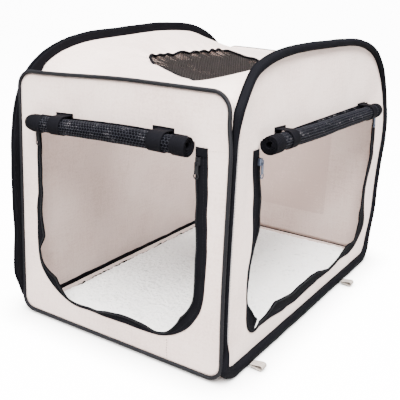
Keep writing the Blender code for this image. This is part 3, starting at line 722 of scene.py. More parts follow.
def window_pucker(x, y):
    """How far the gathered edge of the roof window lifts or drops the cloth round it."""
    spots = np.stack([np.ravel(x), np.ravel(y)], 1)
    away = np.linalg.norm(spots[:, None] - WINDOW[None], axis=2)
    nearest = away.argmin(1)
    step = np.linalg.norm(np.diff(WINDOW, axis=0), axis=1).mean()
    phase = nearest * step / 0.036
    loose = 0.0006 + 0.0018 * down_from(spots[:, 0], 0.02, 0.12)
    fade = np.exp(-((away.min(1) / 0.020) ** 2))
    wave = np.sin(2 * math.pi * phase + 2.1 * np.sin(phase * 1.1) + 0.9 * np.sin(phase * 2.3))
    loose = loose * (0.75 + 0.45 * np.sin(phase * 1.9 + 0.6))
    return (loose * fade * wave).reshape(np.shape(x))


def wall_relief(wall, along, height):
    """How far a wall's cloth stands out of its flat face, with soft swells and tension lines."""
    seed = {"front": 1, "back": 2, "left": 3, "right": 4}[wall]
    depth = bpy.context.scene.crate_cloth.wrinkle
    spots = np.stack([along, height], -1)
    swell = fbm(spots, 0.16, seed, 2)
    slanted = np.stack([along + 0.6 * height, 0.25 * height - 0.1 * along], -1)
    lines = fbm(slanted, 0.035, seed + 5, 1)
    return depth * (swell + 0.28 * lines)


def edge_distance(loop, along, height):
    """Distance of points from a loop, measured to its own points."""
    spots = np.stack([np.ravel(along), np.ravel(height)], 1)
    found = np.empty(len(spots))
    for start in range(0, len(spots), 4000):
        part = spots[start : start + 4000]
        found[start : start + 4000] = np.linalg.norm(part[:, None] - loop[None], axis=2).min(1)
    return found.reshape(np.shape(along))


def wall_out(wall, along, height):
    """A wall's relief, fading to nothing where it is sewn to its edge."""
    loop = PANEL_EDGE if wall in ("front", "back") else HOOP_EDGE
    fade = smooth(edge_distance(loop, along, height) / 0.05)
    return fade * wall_relief(wall, along, height)


PANEL_EDGE = panel_loop(2 * PIPING_RADIUS + CLEAR, 500)
HOOP_EDGE = hoop_loop(BINDING_WIDTH / 2)


def doorway(door, inset, top, count=300):
    """From the top left of a doorway down, round the bottom and up, with its uneven line."""
    half, bottom = door["half"], door["bottom"]
    near, far = door["corners"]
    left, right = door["centre"] - half, door["centre"] + half
    first = arc((left + near, bottom + near), near, 180, 270, 30)
    second = arc((right - far, bottom + far), far, 270, 360, 30)
    path = resampled(np.vstack([[(left, top)], first, second, [(right, top)]]), count)
    reach = np.linspace(0, 1, count)
    inward = -path_normals(path, False)
    width = np.interp(reach, *zip(*door["widths"]))
    if inset <= TAPE_LAP:
        width = np.minimum(width, 1)
    edge = np.interp(reach, *zip(*door["shifts"]))
    offset = smoothed(inset * width, 4)[:, None] + smoothed(edge, 10)[:, None]
    path = path + inward * offset
    seed = 11 if door["wall"] == "front" else 12
    loose = door["wave"] * down_from(path[:, 1], top, 0.08)
    shift = loose * (fbm(path, 0.055, seed, 2) + 0.15)
    return path - path_normals(path, False) * shift[:, None]


def smoothed(values, steps):
    """Running mean of a row of numbers, a few times over."""
    for _ in range(steps):
        padded = np.concatenate([values[:1], values, values[-1:]])
        values = (padded[:-2] + 2 * padded[1:-1] + padded[2:]) / 4
    return values


def loop_radius(loop, centre, angles):
    """How far a loop lies from its centre at each angle."""
    dense = resampled(loop, 5000, True) - centre
    turn = np.arctan2(dense[:, 1], dense[:, 0])
    order = np.argsort(turn)
    away = np.linalg.norm(dense, axis=1)
    return np.interp(angles, turn[order], away[order], period=2 * math.pi)


def ring_grid(inner, outer, centre, rings, count=480, corners=()):
    """Plane points of rings that lead from an inner loop out to an outer one."""
    angles = np.linspace(-math.pi, math.pi, count, endpoint=False)
    extra = [math.atan2(y - centre[1], x - centre[0]) for x, y in corners]
    angles = np.unique(np.concatenate([angles, extra]))
    low = loop_radius(inner, centre, angles) if inner is not None else np.full(len(angles), 0.002)
    high = loop_radius(outer, centre, angles)
    share = np.linspace(0, 1, rings)[:, None]
    away = low + (high - low) * share
    return np.stack([centre[0] + away * np.cos(angles), centre[1] + away * np.sin(angles)], -1)


# ---- materials


def node(tree, kind, **settings):
    made = tree.nodes.new(kind)
    for key, value in settings.items():
        setattr(made, key, value)
    return made


def preset(made, **values):
    """Set a node's input sockets, each named with underscores for its spaces."""
    for label, value in values.items():
        made.inputs[label.replace("_", " ")].default_value = value
    return made


def noise_texture(tree, place=None, **values):
    made = preset(node(tree, "ShaderNodeTexNoise"), **values)
    if place:
        tree.links.new(place, made.inputs["Vector"])
    return made


def math_node(tree, operation, first, second=None):
    made = node(tree, "ShaderNodeMath", operation=operation)
    for socket, value in zip(made.inputs, (first, second)):
        if value is None:
            continue
        if isinstance(value, (int, float)):
            socket.default_value = value
        else:
            tree.links.new(value, socket)
    return made.outputs[0]


def times(tree, first, second):
    return math_node(tree, "MULTIPLY", first, second)


def plus(tree, first, second):
    return math_node(tree, "ADD", first, second)


def new_group(name, outputs, **factors):
    """An empty node group that takes a place and some factors, each with its usual value."""
    tree = bpy.data.node_groups.new(name, "ShaderNodeTree")
    sockets = tree.interface
    sockets.new_socket("Place", in_out="INPUT", socket_type="NodeSocketVector")
    for label, value in factors.items():
        label = label.replace("_", " ")
        socket = sockets.new_socket(label, in_out="INPUT", socket_type="NodeSocketFloat")
        socket.default_value = value
    for label in outputs:
        sockets.new_socket(label, in_out="OUTPUT", socket_type="NodeSocketFloat")
    return tree, tree.nodes.new("NodeGroupInput"), tree.nodes.new("NodeGroupOutput")


def split_place(tree, start):
    """The parts of a group's place: across, along and up."""
    parts = node(tree, "ShaderNodeSeparateXYZ")
    tree.links.new(start.outputs["Place"], parts.inputs[0])
    return parts.outputs


def weave_group():
    """Plain weave: threads that pass over and under each other, with uneven yarn."""
    if found := bpy.data.node_groups.get("plain weave"):
        return found
    tree, start, end = new_group(
        "plain weave", ["Height", "Shade"], Threads_per_metre=1400.0, Unevenness=0.3
    )
    links, parts = tree.links, split_place(tree, start)
    turns = times(tree, start.outputs["Threads per metre"], math.pi)
    angles = [times(tree, parts[axis], turns) for axis in (0, 1)]
    waves = [math_node(tree, "SINE", angle) for angle in angles]
    over = math_node(tree, "ABSOLUTE", times(tree, *waves))
    yarn = noise_texture(tree, start.outputs["Place"])
    scale = times(tree, start.outputs["Threads per metre"], 0.4)
    links.new(scale, yarn.inputs["Scale"])
    uneven = times(tree, yarn.outputs["Fac"], start.outputs["Unevenness"])
    height = plus(tree, over, uneven)
    links.new(height, end.inputs["Height"])
    shade = times(tree, height, 0.7)
    links.new(shade, end.inputs["Shade"])
    return tree


def rib_group():
    """Ribbed tape: fine cords across its length, with a slight fuzz."""
    if found := bpy.data.node_groups.get("tape ribs"):
        return found
    tree, start, end = new_group("tape ribs", ["Height", "Shade"], Ribs_per_metre=700.0, Fuzz=0.4)
    links = tree.links
    turns = times(tree, start.outputs["Ribs per metre"], 2 * math.pi)
    angle = times(tree, split_place(tree, start)[1], turns)
    ribs = math_node(tree, "SINE", angle)
    fuzz = noise_texture(tree, start.outputs["Place"], Scale=900.0, Detail=3.0)
    height = times(tree, fuzz.outputs["Fac"], start.outputs["Fuzz"])
    height = plus(tree, height, times(tree, ribs, 0.5))
    links.new(height, end.inputs["Height"])
    shade = times(tree, height, 0.4)
    links.new(plus(tree, shade, 0.3), end.inputs["Shade"])
    return tree


def tone_group():
    """Large soft patches: how handling and light wear change a surface's tone."""
    if found := bpy.data.node_groups.get("soft patches"):
        return found
    outputs = ["Patches", "Speckle", "Slub"]
    tree, start, end = new_group("soft patches", outputs, Patches_per_metre=9.0, Contrast=1.0)
    links = tree.links
    wide = noise_texture(tree, start.outputs["Place"], Detail=3.0)
    links.new(start.outputs["Patches per metre"], wide.inputs["Scale"])
    centred = math_node(tree, "SUBTRACT", wide.outputs["Fac"], 0.5)
    strong = times(tree, centred, start.outputs["Contrast"])
    spread = plus(tree, strong, 0.5)
    spread.node.use_clamp = True
    links.new(spread, end.inputs["Patches"])
    fine = noise_texture(tree, start.outputs["Place"], Scale=280.0, Detail=2.0)
    links.new(fine.outputs["Fac"], end.inputs["Speckle"])
    threads = []
    for stretch in ((1.0, 0.14, 1.0), (0.14, 1.0, 1.0)):
        pulled = node(tree, "ShaderNodeVectorMath", operation="MULTIPLY")
        pulled.inputs[1].default_value = stretch
        links.new(start.outputs["Place"], pulled.inputs[0])
        yarn = noise_texture(tree, pulled.outputs[0], Scale=210.0, Detail=1.0)
        threads.append(yarn.outputs["Fac"])
    both = plus(tree, *threads)
    links.new(times(tree, both, 0.5), end.inputs["Slub"])
    return tree


def pocket_group():
    """Where the pocket lies behind the back wall, with soft edges: a mask for painted shade there.
    """
    if found := bpy.data.node_groups.get("pocket painted shade"):
        return found
    tree, start, end = new_group("pocket painted shade", ["Behind"])
    links, parts = tree.links, split_place(tree, start)
    spans = (
        (parts[0], 0.0, POCKET_WIDTH / 2),
        (parts[1], POCKET_BOTTOM + POCKET_HEIGHT / 2, POCKET_HEIGHT / 2),
    )
    masks = []
    for place, middle, half in spans:
        away = math_node(tree, "ABSOLUTE", math_node(tree, "SUBTRACT", place, middle))
        inside = math_node(tree, "SUBTRACT", half, away)
        edge = node(tree, "ShaderNodeMapRange")
        preset(edge, From_Min=0.0, From_Max=0.004)
        links.new(inside, edge.inputs["Value"])
        masks.append(edge.outputs[0])
    both = times(tree, *masks)
    links.new(times(tree, both, 0.22), end.inputs["Behind"])
    return tree


def new_material(name, metallic=0.0, roughness=0.8, specular=0.5, sheen=0.0):
    material = bpy.data.materials.new(name)
    material.use_nodes = True
    shader = material.node_tree.nodes["Principled BSDF"]
    preset(shader, Metallic=metallic, Roughness=roughness, Specular_IOR_Level=specular)
    preset(shader, Sheen_Weight=sheen, Sheen_Roughness=0.5)
    return material, material.node_tree, shader


def colour_by(tree, shader, factor, stops):
    """Colour a shader from a ramp over a varying factor."""
    ramp = node(tree, "ShaderNodeValToRGB")
    for element, (place, colour) in zip(ramp.color_ramp.elements, (stops[0], stops[-1])):
        element.position, element.color = place, (*colour, 1)
    for place, colour in stops[1:-1]:
        ramp.color_ramp.elements.new(place).color = (*colour, 1)
    tree.links.new(factor, ramp.inputs[0])
    tree.links.new(ramp.outputs[0], shader.inputs["Base Color"])


def bump(tree, shader, height, strength, distance):
    """Raise a shader's surface by a varying height."""
    made = node(tree, "ShaderNodeBump")
    preset(made, Strength=strength, Distance=distance)
    tree.links.new(height, made.inputs["Height"])
    tree.links.new(made.outputs[0], shader.inputs["Normal"])


def roughen(tree, shader, factor, rough):
    """Lead a varying factor to the roughness, between two limits."""
    spread = node(tree, "ShaderNodeMapRange")
    preset(spread, To_Min=rough[0], To_Max=rough[1])
    tree.links.new(factor, spread.inputs["Value"])
    tree.links.new(spread.outputs[0], shader.inputs["Roughness"])


def place_group(tree, group, place, **values):
    """Put a node group into a material, with its own values."""
    made = node(tree, "ShaderNodeGroup", node_tree=group)
    tree.links.new(place, made.inputs["Place"])
    return preset(made, **values)


def cloth_places(tree):
    """Places on a piece's own cloth map, in metres."""
    return node(tree, "ShaderNodeUVMap", uv_map="cloth").outputs[0]


def frame_places(tree):
    """Places in the row frame, in metres."""
    return node(tree, "ShaderNodeTexCoord").outputs["Object"]


def scaled(colour, factor):
    return tuple(min(1.0, channel * factor) for channel in colour)


# How strongly each kind of mottling shows, and the tint at each place of the cloth's ramp
CLOTH_MOTTLING = (("Patches", 0.42), ("Speckle", 0.60), ("Slub", 0.5))
CLOTH_SHADES = ((0.63, (0.87, 0.83, 0.82)), (0.81, (1, 1, 1)), (0.99, (1.06, 1.09, 1.10)))
CLOTH_ROUGHNESS = (0.82, 0.95)


def cloth_material(
    name, colour, threads, contrast, strength, sheen=0.15, specular=0.25, pocket_shaded=False
):
    """Woven polyester, with its weave laid out in metres by the piece's own cloth map."""
    if found := bpy.data.materials.get(name):
        return found
    material, tree, shader = new_material(name, sheen=sheen, specular=specular)
    places = cloth_places(tree)
    weave = place_group(tree, weave_group(), places, Threads_per_metre=threads)
    tone = place_group(tree, tone_group(), places, Contrast=contrast)
    mixed = times(tree, weave.outputs["Shade"], 0.15)
    for label, share in CLOTH_MOTTLING:
        part = times(tree, tone.outputs[label], share)
        mixed = plus(tree, mixed, part)
    # Painted shade: the cloth is darker where the pocket behind it keeps light from coming through.
    if pocket_shaded:
        behind = place_group(tree, pocket_group(), places)
        mixed = math_node(tree, "SUBTRACT", mixed, behind.outputs["Behind"])
    stops = [
        (place, tuple(min(1.0, channel * tint) for channel, tint in zip(colour, tints)))
        for place, tints in CLOTH_SHADES
    ]
    colour_by(tree, shader, mixed, stops)
    roughen(tree, shader, weave.outputs["Height"], CLOTH_ROUGHNESS)
    bump(tree, shader, weave.outputs["Height"], strength, 0.0002)
    return material


def tape_material(name, colour, ribs=700.0, rough=(0.6, 0.85), strength=0.5, specular=0.015):
    """Ribbed black tape: the ribs run across the length that the cloth map counts."""
    if found := bpy.data.materials.get(name):
        return found
    material, tree, shader = new_material(name, specular=specular)
    places = cloth_places(tree)
    rib = place_group(tree, rib_group(), places, Ribs_per_metre=ribs)
    tone = place_group(tree, tone_group(), places, Patches_per_metre=25.0)
    mixed = times(tree, rib.outputs["Shade"], 0.6)
    mixed = plus(tree, mixed, times(tree, tone.outputs["Patches"], 0.4))
    stops = [(0.1, scaled(colour, 0.6)), (0.5, colour), (0.95, scaled(colour, 2.2))]
    colour_by(tree, shader, mixed, stops)
    roughen(tree, shader, rib.outputs["Shade"], rough)
    bump(tree, shader, rib.outputs["Height"], strength, 0.0004)
    return material


def plain_material(name, colour, metallic, rough, patches, bump_size, strength, specular=0.5):
    """Thread, netting, moulded and metal finishes, placed by the row frame."""
    if found := bpy.data.materials.get(name):
        return found
    material, tree, shader = new_material(name, metallic, specular=specular)
    places = frame_places(tree)
    patchy = {"Patches_per_metre": patches, "Contrast": 1.6}
    tone = place_group(tree, tone_group(), places, **patchy)
    stops = [(0.1, scaled(colour, 0.7)), (0.5, colour), (0.9, scaled(colour, 1.35))]
    colour_by(tree, shader, tone.outputs["Patches"], stops)
    roughen(tree, shader, tone.outputs["Speckle"], rough)
    grain = noise_texture(tree, places, Scale=bump_size, Detail=4.0)
    bump(tree, shader, grain.outputs["Fac"], strength, 0.0003)
    return material


def rolled_net():
    """Layers of netting seen through each other: painted shade, with pale specks of painted light
    where holes line up.
    """
    if found := bpy.data.materials.get("rolled net"):
        return found
    # Painted shade: the roll is darker than the netting's own colour, as its inner layers lie in
    # shade.
    dark = scaled(tuple(bpy.context.scene.crate_net.colour), 0.25)
    material, tree, shader = new_material("rolled net", specular=0.02, roughness=0.8)
    places = cloth_places(tree)
    weave = place_group(tree, weave_group(), places, Threads_per_metre=250.0)
    tone = place_group(tree, tone_group(), places, Patches_per_metre=55.0, Contrast=2.2)
    # Painted light: pale specks where light shows through holes that line up in the layers.
    holes = times(tree, weave.outputs["Shade"], tone.outputs["Patches"])
    holes = plus(tree, holes, times(tree, tone.outputs["Speckle"], 0.3))
    stops = [(0.2, scaled(dark, 0.8)), (0.56, scaled(dark, 2.0))]
    stops += [(0.66, (0.03, 0.03, 0.035)), (0.85, (0.22, 0.2, 0.2))]
    colour_by(tree, shader, holes, stops)
    bump(tree, shader, weave.outputs["Height"], 0.8, 0.0006)
    return material


# How light the fleece is at each place of its ramp; the darker end is painted shade in the hollows
# between curls
FLEECE_SHADES = ((0.12, 0.50), (0.38, 0.98), (0.7, 1.03))


def fleece_material():
    if found := bpy.data.materials.get("fleece pile"):
        return found
    colour = tuple(bpy.context.scene.crate_mat.colour)
    material, tree, shader = new_material("fleece pile", sheen=0.8, specular=0.15, roughness=0.95)
    places = frame_places(tree)
    curls = node(tree, "ShaderNodeTexVoronoi", feature="SMOOTH_F1")
    preset(curls, Scale=150.0, Smoothness=0.6)
    fine = noise_texture(tree, places, Scale=520.0, Detail=5.0, Distortion=1.2)
    tree.links.new(places, curls.inputs["Vector"])
    patchy = {"Patches_per_metre": 22.0, "Contrast": 1.5}
    tone = place_group(tree, tone_group(), places, **patchy)
    # The colour follows the curls' height, as the bump does: painted shade in the hollows between
    # curls, with random patches of tone.
    height = times(tree, curls.outputs["Distance"], -1.2)
    height = plus(tree, height, fine.outputs["Fac"])
    patches = times(tree, tone.outputs["Patches"], 0.35)
    mixed = plus(tree, times(tree, height, 0.45), 0.35)
    mixed = plus(tree, mixed, patches)
    stops = [(place, scaled(colour, share)) for place, share in FLEECE_SHADES]
    colour_by(tree, shader, mixed, stops)
    bump(tree, shader, height, 1.0, 0.005)
    return material


def panel_cloth():
    cloth = bpy.context.scene.crate_cloth
    return cloth_material("panel cloth", tuple(cloth.colour), cloth.threads, 1.5, 0.55)


def pocket_cloth():
    """The panel cloth, darker where the pocket behind it keeps light from coming through."""
    cloth = bpy.context.scene.crate_cloth
    return cloth_material(
        "back panel cloth", tuple(cloth.colour), cloth.threads, 1.5, 0.55, pocket_shaded=True
    )


def black_tape():
    trim = bpy.context.scene.crate_trim
    return tape_material("black tape", tuple(trim.colour), trim.ribs)


def piping_cord():
    colour = scaled(tuple(bpy.context.scene.crate_trim.colour), 1.3)
    return tape_material("piping cord", colour, 900.0, (0.4, 0.55), specular=0.09)


def black_thread():
    colour = scaled(tuple(bpy.context.scene.crate_trim.colour), 1.7)
    return plain_material("black thread", colour, 0.0, (0.5, 0.7), 60.0, 3000.0, 0.4, specular=0.08)


def pale_thread():
    colour = scaled(tuple(bpy.context.scene.crate_cloth.colour), 0.72)
    return plain_material("pale thread", colour, 0.0, (0.5, 0.7), 60.0, 3000.0, 0.4)


def net_strands(name):
    net = bpy.context.scene.crate_net
    # The roof window's netting takes its lighter, warmer colour: painted light from above.
    colour = tuple(net.window_lit_colour if name == "window net" else net.colour)
    return plain_material(name, colour, 0.0, (0.4, 0.6), 90.0, 2500.0, 0.5, specular=0.12)


# ---- sizes and colours to change


class CrateCloth(bpy.types.PropertyGroup):
    """The light cloth of the walls, roof and floor."""

    colour: FloatVectorProperty(
        name="Cloth colour", description="Colour of the light woven cloth", subtype="COLOR",
        size=3, min=0, max=1, default=(0.590, 0.470, 0.425),
    )
    threads: FloatProperty(
        name="Threads per metre", description="How fine the cloth's weave is", default=1400.0,
        min=300, max=5000,
    )
    wrinkle: FloatProperty(
        name="Wrinkle depth", description="How far the walls swell and wrinkle", default=0.0030,
        min=0, max=0.006, subtype="DISTANCE", unit="LENGTH",
    )


class CrateTrim(bpy.types.PropertyGroup):
    """The black tape, thread and piping."""

    colour: FloatVectorProperty(
        name="Trim colour", description="Colour of the black tape, straps and piping",
        subtype="COLOR", size=3, min=0, max=1, default=(0.0032, 0.0032, 0.0042),
    )
    ribs: FloatProperty(
        name="Ribs per metre", description="How fine the ribs of the tape are", default=560.0,
        min=100, max=3000,
    )


class CrateNet(bpy.types.PropertyGroup):
    """The netting of the roof window and of the two doors."""

    colour: FloatVectorProperty(
        name="Net colour", description="Colour of the netting", subtype="COLOR", size=3, min=0,
        max=1, default=(0.0045, 0.0048, 0.0074),
    )
    # Painted light: the roof window's netting is coloured lighter and warmer than the door netting,
    # as lit from above.
    window_lit_colour: FloatVectorProperty(
        name="Window net colour", description="Colour of the roof window's netting",
        subtype="COLOR", size=3, min=0, max=1, default=(0.0085, 0.0065, 0.0060),
    )
    cell: FloatProperty(
        name="Net hole", description="Distance across one hole of the netting", default=0.0054,
        min=0.002, max=0.02, subtype="DISTANCE", unit="LENGTH",
    )
    strand: FloatProperty(
        name="Net strand", description="Thickness of the netting's strands", default=0.0016,
        min=0.0003, max=0.003, subtype="DISTANCE", unit="LENGTH",
    )
    turns: IntProperty(
        name="Turns of a roll", description="How many times an open door is rolled up", default=6,
        min=2, max=12,
    )


class CrateMat(bpy.types.PropertyGroup):
    """The fleece mat."""

    colour: FloatVectorProperty(
        name="Fleece colour", description="Colour of the fleece", subtype="COLOR", size=3, min=0,
        max=1, default=(0.985, 0.948, 0.918),
    )
    pile: FloatProperty(
        name="Pile height", description="Height of the fleece's tufts", default=0.0042, min=0,
        max=0.01, subtype="DISTANCE", unit="LENGTH",
    )
    pressure: FloatProperty(
        name="Stuffing pressure",
        description="How strongly the mat's filling swells it in the cloth simulation",
        default=4.0, min=0, max=20,
    )


class CrateStage(bpy.types.PropertyGroup):
    """The floor, the light and the camera."""

    floor_colour: FloatVectorProperty(
        name="Floor colour", description="Colour of the pale floor", subtype="COLOR", size=3,
        min=0, max=1, default=(0.50, 0.485, 0.475),
    )
    light: FloatProperty(
        name="Light", description="Strength of the soft studio lights", default=2.4, min=0.1,
        max=5,
    )
    white: FloatProperty(
        name="Background white",
        description="How brightly the floor and background glow for the camera alone",
        default=12.0, min=0, max=40,
    )


GROUPS = {
    "crate_cloth": CrateCloth,
    "crate_trim": CrateTrim,
    "crate_net": CrateNet,
    "crate_mat": CrateMat,
    "crate_stage": CrateStage,
}


# ---- building the pieces


def wall_cloth(name, wall, inner, outer, centre, rings, corners=()):
    """One wall's cloth, from its doorway or its middle out to where it is sewn in."""
    plane = ring_grid(inner, outer, centre, rings, corners=corners)
    along, height = plane[..., 0], plane[..., 1]
    out = -FABRIC / 2 + wall_out(wall, along, height)
    grid = on_face(wall, along, out, height)
    item = grid_piece(name, grid, panel_cloth(), plane, False, True)
    if inner is None:
        close_ends_keep_uv(item)
    return thicken(item, FABRIC)


def close_ends_keep_uv(item):
    """Fill the small hole in the middle of a wall that has no doorway."""
    shape = bmesh.new()
    shape.from_mesh(item.data)
    layer = shape.loops.layers.uv["cloth"]
    edges = [e for e in shape.edges if e.is_boundary and e.calc_length() < 0.0002]
    made = bmesh.ops.holes_fill(shape, edges=edges, sides=0)["faces"]
    for face in made:
        for corner in face.loops:
            other = next(c for c in corner.vert.link_loops if c.face is not face)
            corner[layer].uv = other[layer].uv
    shape.to_mesh(item.data)
    shape.free()


def closed_doorway(door):
    """A doorway's cut edge, which the zip tape and the roll hide."""
    top = door["top"] - DOORWAY_DROP
    return doorway(door, TAPE_LAP, top)


def doorway_corners(path):
    """Where a doorway's path starts and ends, below the roll's seam."""
    return [tuple(path[0]), tuple(path[-1])]


class CRATE_OT_side_walls(bpy.types.Operator):
    """Build the two side walls' cloth"""

    bl_idname = "crate.side_walls"
    bl_label = "Side walls"

    def execute(self, context):
        outer = HOOP_EDGE
        left = wall_cloth("left_wall", "left", None, outer, (0, 0.25), 30)
        settle(left, "crate", ["left_side_panel"])
        door = DOORS["side"]
        path = closed_doorway(door)
        middle = (door["centre"], 0.2)
        right = wall_cloth("right_wall", "right", path, outer, middle, 18, doorway_corners(path))
        settle(right, "right_side", ["right_side_panel"])
        return {"FINISHED"}


HOOP_STEPS, STITCH_STEPS = 900, 500
STITCH_INSET = 0.0014
LIP_RISE = 0.0034


def binding_section():
    """Tape folded over the hoop's wire: a soft dome with a flat sewn lip on its inner side."""
    half = BINDING_WIDTH / 2
    back = CLEAR + BINDING_THICK
    middle = CLEAR + 0.55 * BINDING_THICK
    dome = arc((0.0008, middle), 1.0, 180, 0, 12) - (0.0008, middle)
    dome = dome * (half - 0.001, 0.45 * BINDING_THICK) + (-0.0004, middle)
    lip, shoulder = CLEAR + 0.0012, CLEAR + 0.3 * back
    inner = [(-half, CLEAR), (-half, lip), (-half + 0.0006, shoulder)]
    return np.vstack([inner, dome, [(half - 0.0006, shoulder), (half, lip), (half, CLEAR)]])


def pressed(side, loop):
    """How flat the binding lies at each place of its hoop, from 1 at the crown."""
    along = loop[:, 0] if side == "right" else -loop[:, 0]
    upright = 0.45 * up_from(-along, 0.29, 0.03) + 0.2 * up_from(along, 0.29, 0.03)
    return 1 - upright * up_from(loop[:, 1], 0.03, 0.05) * down_from(loop[:, 1], 0.44, 0.07)


def narrower(loop):
    """How much of the facing's width is folded away at each place of its hoop."""
    low = 0.17 + 0.12 * fbm(loop, 0.05, 24, 2)
    return 0.25 * up_from(loop[:, 1], 0.42, 0.05) + low * down_from(loop[:, 1], 0.05, 0.02)


class CRATE_OT_hoops(bpy.types.Operator):
    """Build the black tape binding of both hoops and finish their wires"""

    bl_idname = "crate.hoops"
    bl_label = "Hoops and binding"

    def execute(self, context):
        grey, rough = (0.30, 0.30, 0.31), (0.25, 0.45)
        steel = plain_material("spring steel", grey, 1.0, rough, 60.0, 1500.0, 0.2)
        for side, body in (("left", "crate"), ("right", "right_side")):
            loop = hoop_loop(BINDING_WIDTH / 2, HOOP_STEPS)
            normal = path_normals(loop, True)
            section = binding_section()
            wobble = fbm(loop, 0.03, 21, 2)
            flat = pressed(side, loop)
            grid = []
            for spot, way, extra, low in zip(loop, normal, wobble, flat):
                rise = section[:, 1] * (1 + 0.05 * extra) * low
                narrow = (1 - low) * 1.25
                if side == "right":
                    narrow = narrow - 0.38 * down_from(spot[1], 0.03, 0.015)
                shift = section[:, 0] * (1 - narrow) + 0.007 * narrow + 0.0004 * extra
                row = on_face(side, spot[0] + way[0] * shift, rise, spot[1] + way[1] * shift)
                grid.append(row)
            item = grid_piece(f"{side}_binding", np.array(grid), black_tape(), None, True, True)
            settle(item, body, [f"{side}_hoop_binding"])
            rows = []
            for inset in (BINDING_WIDTH - STITCH_INSET, STITCH_INSET):
                row = hoop_loop(inset, STITCH_STEPS)
                rows.append(along_face(side, row, CLEAR + LIP_RISE * pressed(side, row)))
            outward = outward_from(side)
            name, thread = f"{side}_binding_stitches", black_thread()
            sew(name, rows, thread, [outward] * 2, body, "black_cloth", closed=True)
            self.wire(side, body, steel, outward)
            self.facing(side, body, outward)
        return {"FINISHED"}

    def wire(self, side, body, steel, outward):
        """The sprung wire inside the binding, which holds the wall open."""
        loop = hoop_loop(BINDING_WIDTH / 2, 420)
        line = along_face(side, loop, CLEAR + BINDING_THICK / 2 * pressed(side, loop))
        wire = swept(f"{side}_wire", line, circle(WIRE_RADIUS, 8), steel, outward, True)
        settle(wire, body, [f"{side}_hoop_wire"])

    def facing(self, side, body, outward):
        """The binding's inner half: a wide ribbed tape sewn over the wall's inner face."""
        insets = np.linspace(0.0007, FACING, 7)
        grid = []
        for inset in insets:
            loop = hoop_loop(inset, HOOP_STEPS)
            less = narrower(loop) * max(0.0, inset - 0.004)
            loop = loop - path_normals(loop, True) * -less[:, None]
            soft = 0.0004 * fbm(loop, 0.02, 23, 2) * smooth(inset / 0.01)
            grid.append(along_face(side, loop, -FABRIC - 0.0009 - np.abs(soft)))
        places = strip_places(insets, 2.1, HOOP_STEPS + 1)[:, :-1]
        tape = grid_piece(f"{side}_facing", np.array(grid), black_tape(), places, False, True)
        thicken(tape, 0.0011)
        settle(tape, body)
        row = hoop_loop(FACING - 0.0016, STITCH_STEPS)
        less = narrower(row) * (FACING - 0.0056)
        row = row + path_normals(row, True) * less[:, None]
        line = along_face(side, row, -FABRIC - 0.0017)
        name, thread = f"{side}_facing_stitches", black_thread()
        sew(name, [line], thread, [-outward], body, "black_cloth", closed=True)


# Each of the front panel's seams: its label, its ends across and up, and its thread's radius
SEAMS = (
    ("low", (0.1060, 0.1090), (0.046, 0.007), 0.0004),
    ("high", (0.1640, 0.1930), (0.3642, 0.3665), 0.00035),
)


class CRATE_OT_end_walls(bpy.types.Operator):
    """Build the front and back walls with the piping round their edges"""

    bl_idname = "crate.end_walls"
    bl_label = "Front and back walls"

    def execute(self, context):
        door = DOORS["front"]
        path = closed_doorway(door)
        middle, corners = (0, 0.22), doorway_corners(path)
        front = wall_cloth("front_wall", "front", path, PANEL_EDGE, middle, 16, corners)
        settle(front, "crate", ["front_panel"], folds=True)
        back = wall_cloth("back_wall", "back", None, PANEL_EDGE, middle, 26)
        back.data.materials[0] = pocket_cloth()
        settle(back, "crate", ["back_panel"], folds=True)
        self.seams()
        for end in ("front", "back"):
            loop = panel_loop(PIPING_RADIUS, 700)
            out = (0.6 if end == "front" else 0.9) * PIPING_RADIUS
            line = along_face(end, loop, out)
            outward = outward_from(end)
            line[:, 2] = np.maximum(line[:, 2], CORD_RADIUS)
            ring = circle(CORD_RADIUS, 12)
            cord = swept(f"{end}_cord", line, ring, piping_cord(), outward, True)
            settle(cord, "crate", [f"{end}_piping"], folds=True)
            inner = panel_loop(2 * PIPING_RADIUS + 0.003, STITCH_STEPS)
            out = wall_out(end, inner[:, 0], inner[:, 1]) + 0.0001
            row = along_face(end, inner, out)
            name, fine = f"{end}_edge_stitches", {"radius": 0.00028, "closed": True}
            sew(name, [row], pale_thread(), [outward], "crate", "panel_cloth", True, **fine)
        return {"FINISHED"}

    def seams(self):
        """Two fine seams in the front panel: below its doorway and from its corner to the edge."""
        outward = outward_from("front")
        share = np.linspace(0, 1, 40)
        for (label, across, up, radius), thread in zip(SEAMS, (black_thread(), pale_thread())):
            along = across[0] + (across[1] - across[0]) * share + 0.0007 * np.sin(share * 9)
            height = up[0] + (up[1] - up[0]) * share
            out = wall_out("front", along, height) + 0.0002
            row = on_face("front", along, out, height)
            name = f"front_seam_{label}"
            fine = {"gap": 0.0005, "radius": radius}
            sew(name, [row], thread, [outward], "crate", "panel_cloth", True, **fine)


